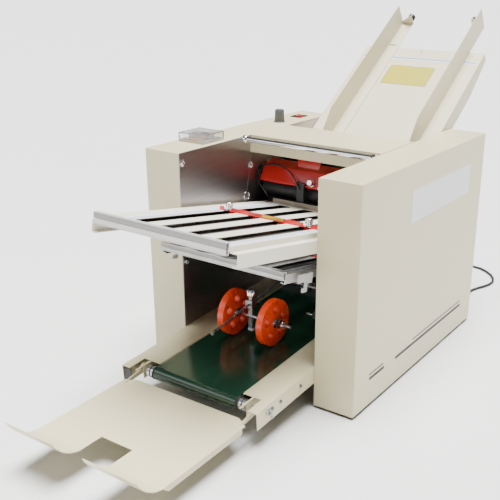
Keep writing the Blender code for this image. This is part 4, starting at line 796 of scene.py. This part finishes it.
# %% End cap, thumb screws and tongue
guard_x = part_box("roller_guard")[0][0]
spun("guard_cap", [(-0.001, 0.0105), (0.006, 0.0110), (0.008, 0.0098), (0.008, 0.0050),
                   (0.0095, 0.0045)], black, "chassis",
     facing(guard_x + 0.003, 0.2830, 0.3905, (-1, 0, 0)), sides=32)
for i, x in enumerate((-0.0188, 0.0760)):
    axes = facing(x, 0.2735, 0.3800, (0, -0.9, 0.35))
    spun(f"guard_screw_{i + 1}", [(-0.002, 0.0040), (0.004, 0.0040), (0.004, 0.0068),
                                  (0.0105, 0.0068), (0.0115, 0.0060), (0.0115, 0.0020)],
         chrome, "chassis", axes, sides=36, flutes=12, depth=0.0007)
    spun(f"guard_screw_washer_{i + 1}", [(-0.0012, 0.0078), (0.0006, 0.0078),
                                         (0.0009, 0.0072)], chrome, "chassis", axes)
tongue = shift(-0.038, front + 0.2905, 0.4130) @ Matrix.Rotation(
    math.radians(70), 4, "X")
pressed("guard_tongue", rounded(-0.030, -0.004, 0.030, 0.016, 0.006), 0.0016, red, "chassis",
        tongue)
block("sensor_clip", (-0.0555, 0.2655, 0.3730), (-0.0325, 0.2725, 0.3790), black, "chassis",
      upright)
print("guard fittings in place")

# %% [markdown]
# ## Press wheels
# Both orange wheels turn on a steel axle. A washer lies against each side of a hub, and three
# collars with grub screws stop the axle. Below the clamp the carriage ends in a white tip
# that rides just above the belt.

# %% Hub washers
for side in ("left", "right"):
    low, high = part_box(f"press_wheel_{side}")
    _, y, z = middle_of(f"press_wheel_{side}")
    for sign, x in ((-1, low[0]), (1, high[0])):
        axes = facing(x - sign * 0.0002, y - front, z, (sign, 0, 0))
        word = "out" if sign > 0 else "in"
        spun(f"wheel_{side}_washer_{word}", [(0, 0.0043), (0, 0.0098), (0.0010, 0.0098),
                                             (0.0013, 0.0092), (0.0013, 0.0043)], chrome,
             f"wheel_{side}", axes, sides=32)
print("washers on both hubs")

# %% Ends of the wheels' axle
_, axle_y, axle_z = middle_of("press_wheel_left")
axle_y -= front
for i, (x, way, size, metal) in enumerate(((-0.0905, -1, 0.0074, dull_steel),
                                           (0.0560, 1, 0.0092, black),
                                           (0.0640, 1, 0.0076, chrome))):
    spun(f"axle_collar_{i + 1}", [(0, 0.0042), (0, size - 0.0006), (0.0008, size),
                                  (0.0052, size), (0.0060, size - 0.0006), (0.0060, 0.0042)],
         metal, "carriage", facing(x, axle_y, axle_z, (way, 0, 0)), sides=32)
    spun(f"axle_grub_{i + 1}", [(-0.001, 0.0018), (0.0008, 0.0018), (0.0008, 0.0009)],
         paint_and_groove_shade, "carriage", facing(x + way * 0.0030, axle_y, axle_z + size, (0, 0, 1)),
         sides=12)
print("collars on the axle at z =", round(axle_z, 4))

# %% Thumb screw and white tip of the carriage
hold_low, hold_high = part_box("wheel_carriage")
screw_x = -0.014
spun("carriage_screw", [(-0.0120, 0.0066), (-0.0115, 0.0082), (-0.0015, 0.0082),
                        (0.0, 0.0070)], chrome, "carriage",
     facing(screw_x, axle_y, hold_high[2] - 0.0004, (0, 0, 1)), sides=60, soft=0.0002,
     flutes=15, depth=0.0009)
block("carriage_tip", (screw_x - 0.0060, axle_y - 0.0042, hold_low[2] - 0.0002),
      (screw_x + 0.0060, axle_y + 0.0042, hold_low[2] + 0.0060), scale_white, "carriage",
      upright, 0.0012)
print("thumb screw and tip on the carriage")

# %% [markdown]
# ## Closed fronts of the channels
# A bent strip closes the front of each aluminium channel, with one shallow joint line along
# it. The two halves face a little differently on the real part, so the upper one looks
# darker; two finishes give the same difference here.

# %% Strips over the channels
channel_grey = finish("channel_grey", (0.31, 0.305, 0.295), 0.32, stretch=(0.1, 2, 2),
                      bump=0.03, Metallic=0.5)
channel_pale = finish("channel_pale", (0.66, 0.65, 0.62), 0.36, stretch=(0.1, 2, 2),
                      bump=0.03, Metallic=0.15)
for node, axes, word in (("upper_fold_plate", upper, "upper"),
                         ("lower_fold_plate", lower, "lower")):
    back_way = axes.inverted()
    edge = [back_way @ v.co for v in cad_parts[node].data.vertices]
    edge = [p for p in edge if p.y < -0.001]
    low, high = min(p.z for p in edge), max(p.z for p in edge)
    half = max(abs(p.x) for p in edge)
    middle = low + 0.47 * (high - low)
    stand = axes @ shift(0, -0.0060, 0) @ Matrix.Rotation(math.pi / 2, 4, "X")
    for part, bottom, rim, metal in (("top", middle + 0.0003, high - 0.0019, channel_grey),
                                     ("foot", low + 0.0019, middle - 0.0003, channel_pale)):
        pressed(f"{word}_channel_{part}", rounded(-half, bottom, half, rim, 0.0005, 2), 0.0009,
                metal, "chassis", stand, 0.0002)
print("strips over both channels")

# %% [markdown]
# ## Stop bar
# The red stop bar is folded up along its front, which makes it stiff and gives the yellow
# strip a face. The fold is broken at the two thumb screws, where fingers need room.

# %% Folded front of the stop bar
bar_low, bar_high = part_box("upper_stop_bar")
stop_s = (upper.inverted() @ Vector((0, middle_of("upper_stop_bar")[1], 0.355))).y
screws = [middle_of(f"upper_stop_knob_{word}")[0] for word in ("left", "right")]
finger_room = 0.010
for i, (x0, x1) in enumerate(((bar_low[0], screws[0] - finger_room),
                              (screws[0] + finger_room, screws[1] - finger_room),
                              (screws[1] + finger_room, bar_high[0]))):
    block(f"stop_fold_{i + 1}", (x0, stop_s - 0.0058, 0.0012), (x1, stop_s - 0.0042, 0.0086),
          red, "upper_stop", upper, 0.0005)
block("stop_strip", (0.004, stop_s - 0.0062, 0.0030), (0.056, stop_s - 0.0056, 0.0078),
      label_yellow, "upper_stop", upper, 0.0001)
for word, x in zip(("left", "right"), screws):
    spun(f"stop_washer_{word}", [(0, 0.0050), (0, 0.0088), (0.0010, 0.0088),
                                 (0.0013, 0.0082), (0.0013, 0.0050)], chrome, "upper_stop",
         upper @ shift(x, stop_s, 0.0021), sides=32)
print("folded front, yellow strip and washers on the stop bar")

# %% [markdown]
# ## Controls
# The speed knob is ribbed for grip and has a pointer line. The rocker sits in a black frame,
# and the counter has four number drums behind a window and a red reset key; the drums are
# left bare.


# %% A flat ring
def ring_piece(name, outer, opening, thick, material, body, axes, soft=0.0003):
    """outer and opening are outlines with the same number of points."""
    work = bmesh.new()
    rows = [[work.verts.new((x, y, z)) for x, y in line]
            for line, z in ((outer, 0), (outer, thick), (opening, thick), (opening, 0))]
    skin(work, rows + rows[:1])
    return place(name, work, material, body, axes, soft)


knob_axes = foot_of("speed_knob")
spun("knob_ribs", [(0.0052, 0.0118), (0.0060, 0.0120), (0.0285, 0.0112), (0.0305, 0.0104),
                   (0.0314, 0.0090)], grey, "knob", knob_axes, sides=96, flutes=16,
     depth=0.0010)
block("knob_pointer", (-0.0006, 0.0, 0.0313), (0.0006, 0.0095, 0.0318), scale_white, "knob",
      knob_axes, 0.0001)
spun("knob_dial", [(-0.0002, 0.0160), (0.0004, 0.0160), (0.0006, 0.0156)], pale_grey,
     "chassis", knob_axes, sides=48)
rocker_axes = shift(*middle_of("rocker_switch")[:2], top)
mark_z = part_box("rocker_switch")[1][2] - top
ring_piece("rocker_frame", rounded(-0.0150, -0.0185, 0.0150, 0.0185, 0.0025),
           rounded(-0.0114, -0.0150, 0.0114, 0.0150, 0.0012), 0.0022, black, "chassis",
           rocker_axes)
for i, y in enumerate((-0.008, 0.008)):
    block(f"rocker_mark_{i + 1}", (-0.0030, y - 0.0005, mark_z - 0.0012),
          (0.0030, y + 0.0005, mark_z + 0.0002), scale_white, "rocker", rocker_axes, 0.0001)
print("knob ribs, dial and rocker frame")

# %% Inside of the counter
case = foot_of("counter_base")
ring_piece("counter_window", rounded(-0.0190, -0.0095, 0.0115, 0.0075, 0.0015),
           rounded(-0.0170, -0.0075, 0.0095, 0.0055, 0.0010), 0.0010, black, "chassis",
           case @ shift(0, 0, 0.0138))
for i in range(4):
    x = -0.0135 + i * 0.0066
    block(f"counter_drum_{i + 1}", (x - 0.0029, -0.0070, 0.0138), (x + 0.0029, 0.0050, 0.0144),
          scale_white if i < 3 else switch_red, "chassis", case, 0.0004)
block("counter_key", (0.0145, -0.0070, 0.0138), (0.0210, 0.0060, 0.0149), switch_red,
      "chassis", case, 0.0004)
for i, (x, y) in enumerate([(x, y) for y in (-0.029, 0.029) for x in (-0.029, 0.029)]):
    pan_head(f"counter_screw_{i + 1}", 0.0026, 0.0018, chrome, "chassis",
             case @ shift(x, y, 0.0040))
block("counter_label", (-0.024, -0.0290, 0.0038), (0.024, -0.0200, 0.0043), switch_red,
      "chassis", case, 0.0001)
print("window, four drums, key and screws in the counter")

# %% [markdown]
# ## Delivery end
# A second rod reaches in from the right side frame with a sleeve and a thumb screw. It stops
# just short of the wheels' axle, so that the carriage can slide past its end. Outside the
# rails, nuts and a wing nut set the tension of the belt.

# %% Second rod
rod_end = facing(inner - 0.0003, 0.0890, 0.1568, (-1, 0, 0))
spun("side_rod", [(0, 0.0022), (0.0700, 0.0022), (0.0705, 0.0034), (0.0750, 0.0034),
                  (0.0758, 0.0028)], chrome, "chassis", rod_end, sides=24)
spun("side_rod_foot", [(0, 0.0090), (0.0030, 0.0090), (0.0040, 0.0070), (0.0120, 0.0065),
                       (0.0125, 0.0024)], chrome, "chassis", rod_end, sides=32)
spun("side_rod_sleeve", [(0.044, 0.0024), (0.044, 0.0062), (0.045, 0.0068), (0.059, 0.0068),
                         (0.060, 0.0062), (0.060, 0.0024)], black, "chassis", rod_end,
     sides=32, flutes=10, depth=0.0005)
spun("side_rod_screw", [(0.004, 0.0018), (0.0105, 0.0018), (0.0105, 0.0042),
                        (0.0150, 0.0042), (0.0156, 0.0036)], chrome, "chassis",
     facing(inner - 0.0520, 0.0890, 0.1568, (0, 0, 1)), sides=30, flutes=10, depth=0.0005)
print("side rod with sleeve and screw")

# %% Rings on the front roller and the end cap of the left rail
roller_low, roller_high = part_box("conveyor_front_roller")
_, roller_y, roller_z = middle_of("conveyor_front_roller")
roller_spot = roller_y - front, roller_z
size = (roller_high[2] - roller_low[2]) / 2
for side, word in ((1, "right"), (-1, "left")):
    spun(f"roller_ring_{word}", [(0, size), (0, size + 0.0018), (0.0032, size + 0.0018),
                                 (0.0036, size + 0.0012), (0.0036, size)], rubber,
         "belt_front", facing(side * 0.1031, *roller_spot, (side, 0, 0)), sides=40,
         soft=0.0002)
    # Each groove is a thin dark ring on the roller: painted shade where the groove is cut.
    spun(f"roller_groove_shade_{word}", [(0, size - 0.0002), (0, size + 0.0002),
                                   (0.0012, size + 0.0002), (0.0012, size - 0.0002)],
         paint_and_groove_shade, "belt_front", facing(side * 0.1145, *roller_spot, (side, 0, 0)),
         sides=40)
# A dark plate closes the front end of the left rail.
block("rail_end_cap", (-0.1660, -0.1905, 0.0475), (-0.1475, -0.1885, 0.0740), paint_and_groove_shade,
      "chassis", upright, 0.0004)
print("rings at both ends of the front roller, cap on the left rail")

# %% Belt tension nuts
rail_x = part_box("conveyor_frame")[1][0]
for side, word in ((1, "right"), (-1, "left")):
    for i, (y, z, size) in enumerate(((-0.1454, 0.0683, 0.0036), (-0.1180, 0.0700, 0.0030),
                                      (-0.0500, 0.0720, 0.0030))):
        axes = facing(side * (rail_x - 0.0002), y, z, (side, 0, 0))
        spun(f"rail_{word}_washer_{i + 1}", [(0, size * 1.5), (0.0007, size * 1.5),
                                             (0.0009, size * 1.4)], dull_steel, "chassis", axes)
        nut(f"rail_{word}_nut_{i + 1}", size, 0.0030, dull_steel, "chassis",
            axes @ shift(0, 0, 0.0008), bore=size * 0.5)
wing = facing(roller_high[0] - 0.0002, *roller_spot, (1, 0, 0))
spun("wing_nut_hub", [(0, 0.0046), (0.0025, 0.0046), (0.0040, 0.0034), (0.0044, 0.0016)],
     dull_steel, "belt_front", wing, sides=32)
for degrees, word in ((25, "up"), (205, "down")):
    pressed(f"wing_{word}", rounded(-0.0011, 0.0, 0.0011, 0.0105, 0.0010, 4), 0.0040, dull_steel,
            "belt_front", wing @ Matrix.Rotation(math.radians(degrees), 4, "Z")
            @ shift(0, 0.0030, 0), 0.0005)
print("nuts on both rails and a wing nut on the front axle")

# %% [markdown]
# ## Feed table
# The left guide's foot has a short slot for its clamp, two screws hold the table to its
# skirt, and the ruler carries one dark line along its ticks, as the photograph shows.

# %% Slot, screws and ruler line
guide_spots = [table.inverted() @ v.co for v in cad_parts["left_side_guide"].data.vertices]
foot_top = sorted({round(p.z, 4) for p in guide_spots if p.z < 0.004})[-1]
# The slot is a thin dark sheet on the foot: painted shade where the slot opens.
pressed("guide_slot_shade", rounded(-0.1040, 0.3025, -0.0840, 0.3055, 0.0014), 0.0002, dark_print_and_slot_shade,
        "left_guide", table @ shift(0, 0, foot_top), 0)
for i, s in enumerate((0.285, -0.060)):
    pan_head(f"table_screw_{i + 1}", 0.0032, 0.0016, chrome, "chassis",
             table @ shift(0, s, 0))
block("table_scale_line", (-0.162, 0.2556, 0.00030), (0.158, 0.2580, 0.00055), scale_blue,
      "chassis", table, 0)
print("guide foot top at", foot_top)

# %% [markdown]
# ## Back of the machine
# The photograph doesn't show the back. Machines like this have a screwed panel there with
# cooling slots for the motor and a rating plate; the plate is left blank.

# %% Panel screws, vents and blank plate
turned = shift(0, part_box("rear_panel")[1][1] - 0.0002, 0) @ Matrix(
    ((-1, 0, 0, 0), (0, 0, 1, 0), (0, 1, 0, 0), (0, 0, 0, 1)))
for i, (x, z) in enumerate([(x, z) for z in (0.030, 0.190) for x in (-0.155, 0.155)]):
    pan_head(f"rear_screw_{i + 1}", 0.0036, 0.0022, chrome, "chassis",
             turned @ shift(x, z, 0))
# Each vent is a thin dark strip on the panel: painted shade where a slot opens into the machine.
for i in range(9):
    x = 0.040 + i * 0.0095
    pressed(f"rear_vent_shade_{i + 1}", rounded(x - 0.0020, 0.050, x + 0.0020, 0.110, 0.0019),
            0.0006, dark_print_and_slot_shade, "chassis", turned, 0)
pressed("rating_plate", rounded(-0.115, 0.085, -0.045, 0.125, 0.0025), 0.0010, aluminium,
        "chassis", turned, 0.0002)
for i, x in enumerate((-0.111, -0.049)):
    pan_head(f"rating_screw_{i + 1}", 0.0016, 0.0010, chrome, "chassis",
             turned @ shift(x, 0.105, 0.0009))
print("screws, nine vents and a blank plate on the rear panel")

# %% [markdown]
# ## Floor and light
# The photograph is a plain product shot, white all round, with soft light from above. A lamp
# of a metre or two would leave the far floor dark, so the key light is a sun with a very wide
# disc: it is as soft as a big softbox and lights the whole floor alike. A weak world fills
# the shadows, and two area lights give the paint and the chrome something to reflect.

# %% Floor
floor_finish = finish("pale_floor", (0.74, 0.74, 0.735), 0.60, vary=0.006, rough_vary=0.04,
                      grain=3.0, bump=0.01, bump_scale=300.0)
floor_work = bmesh.new()
bmesh.ops.create_grid(floor_work, x_segments=4, y_segments=4, size=60)
floor_mesh = bpy.data.meshes.new("floor")
floor_work.to_mesh(floor_mesh)
floor_work.free()
floor_mesh.materials.append(floor_finish)
floor = added("floor", floor_mesh)
print("floor of", round(floor.dimensions.x), "metres")

# %% World
world = bpy.data.worlds.new("pale_room")
bpy.context.scene.world = world
world.use_nodes = True
fill = world.node_tree.nodes["Background"]
put(fill, Color=(1.0, 0.995, 0.985, 1), Strength=0.12)
print("world strength", round(fill.inputs["Strength"].default_value, 3))


# %% Key light
def lamp(name, kind, spot, aim):
    light = bpy.data.lights.new(name, kind)
    piece = added(name, light)
    way = Vector(spot) - Vector(aim)
    turn = way.to_track_quat("Z", "Y").to_matrix().to_4x4()
    piece.matrix_world = Matrix.Translation(spot) @ turn
    return light


key = lamp("key", "SUN", (0.06, 0.04, 1.0), (0, 0, 0))
key.energy = 13.0
key.angle = math.radians(38)
print("key light", key.energy, "W per square metre")

# %% Two softboxes
for name, spot, size, watts in (("front_box", (-1.7, -2.2, 1.6), 1.4, 14),
                                ("side_box", (2.4, -0.9, 1.2), 1.6, 5)):
    box_light = lamp(name, "AREA", spot, (0, 0, 0.25))
    box_light.shape = "SQUARE"
    box_light.size = size
    box_light.energy = watts
print("two softboxes")
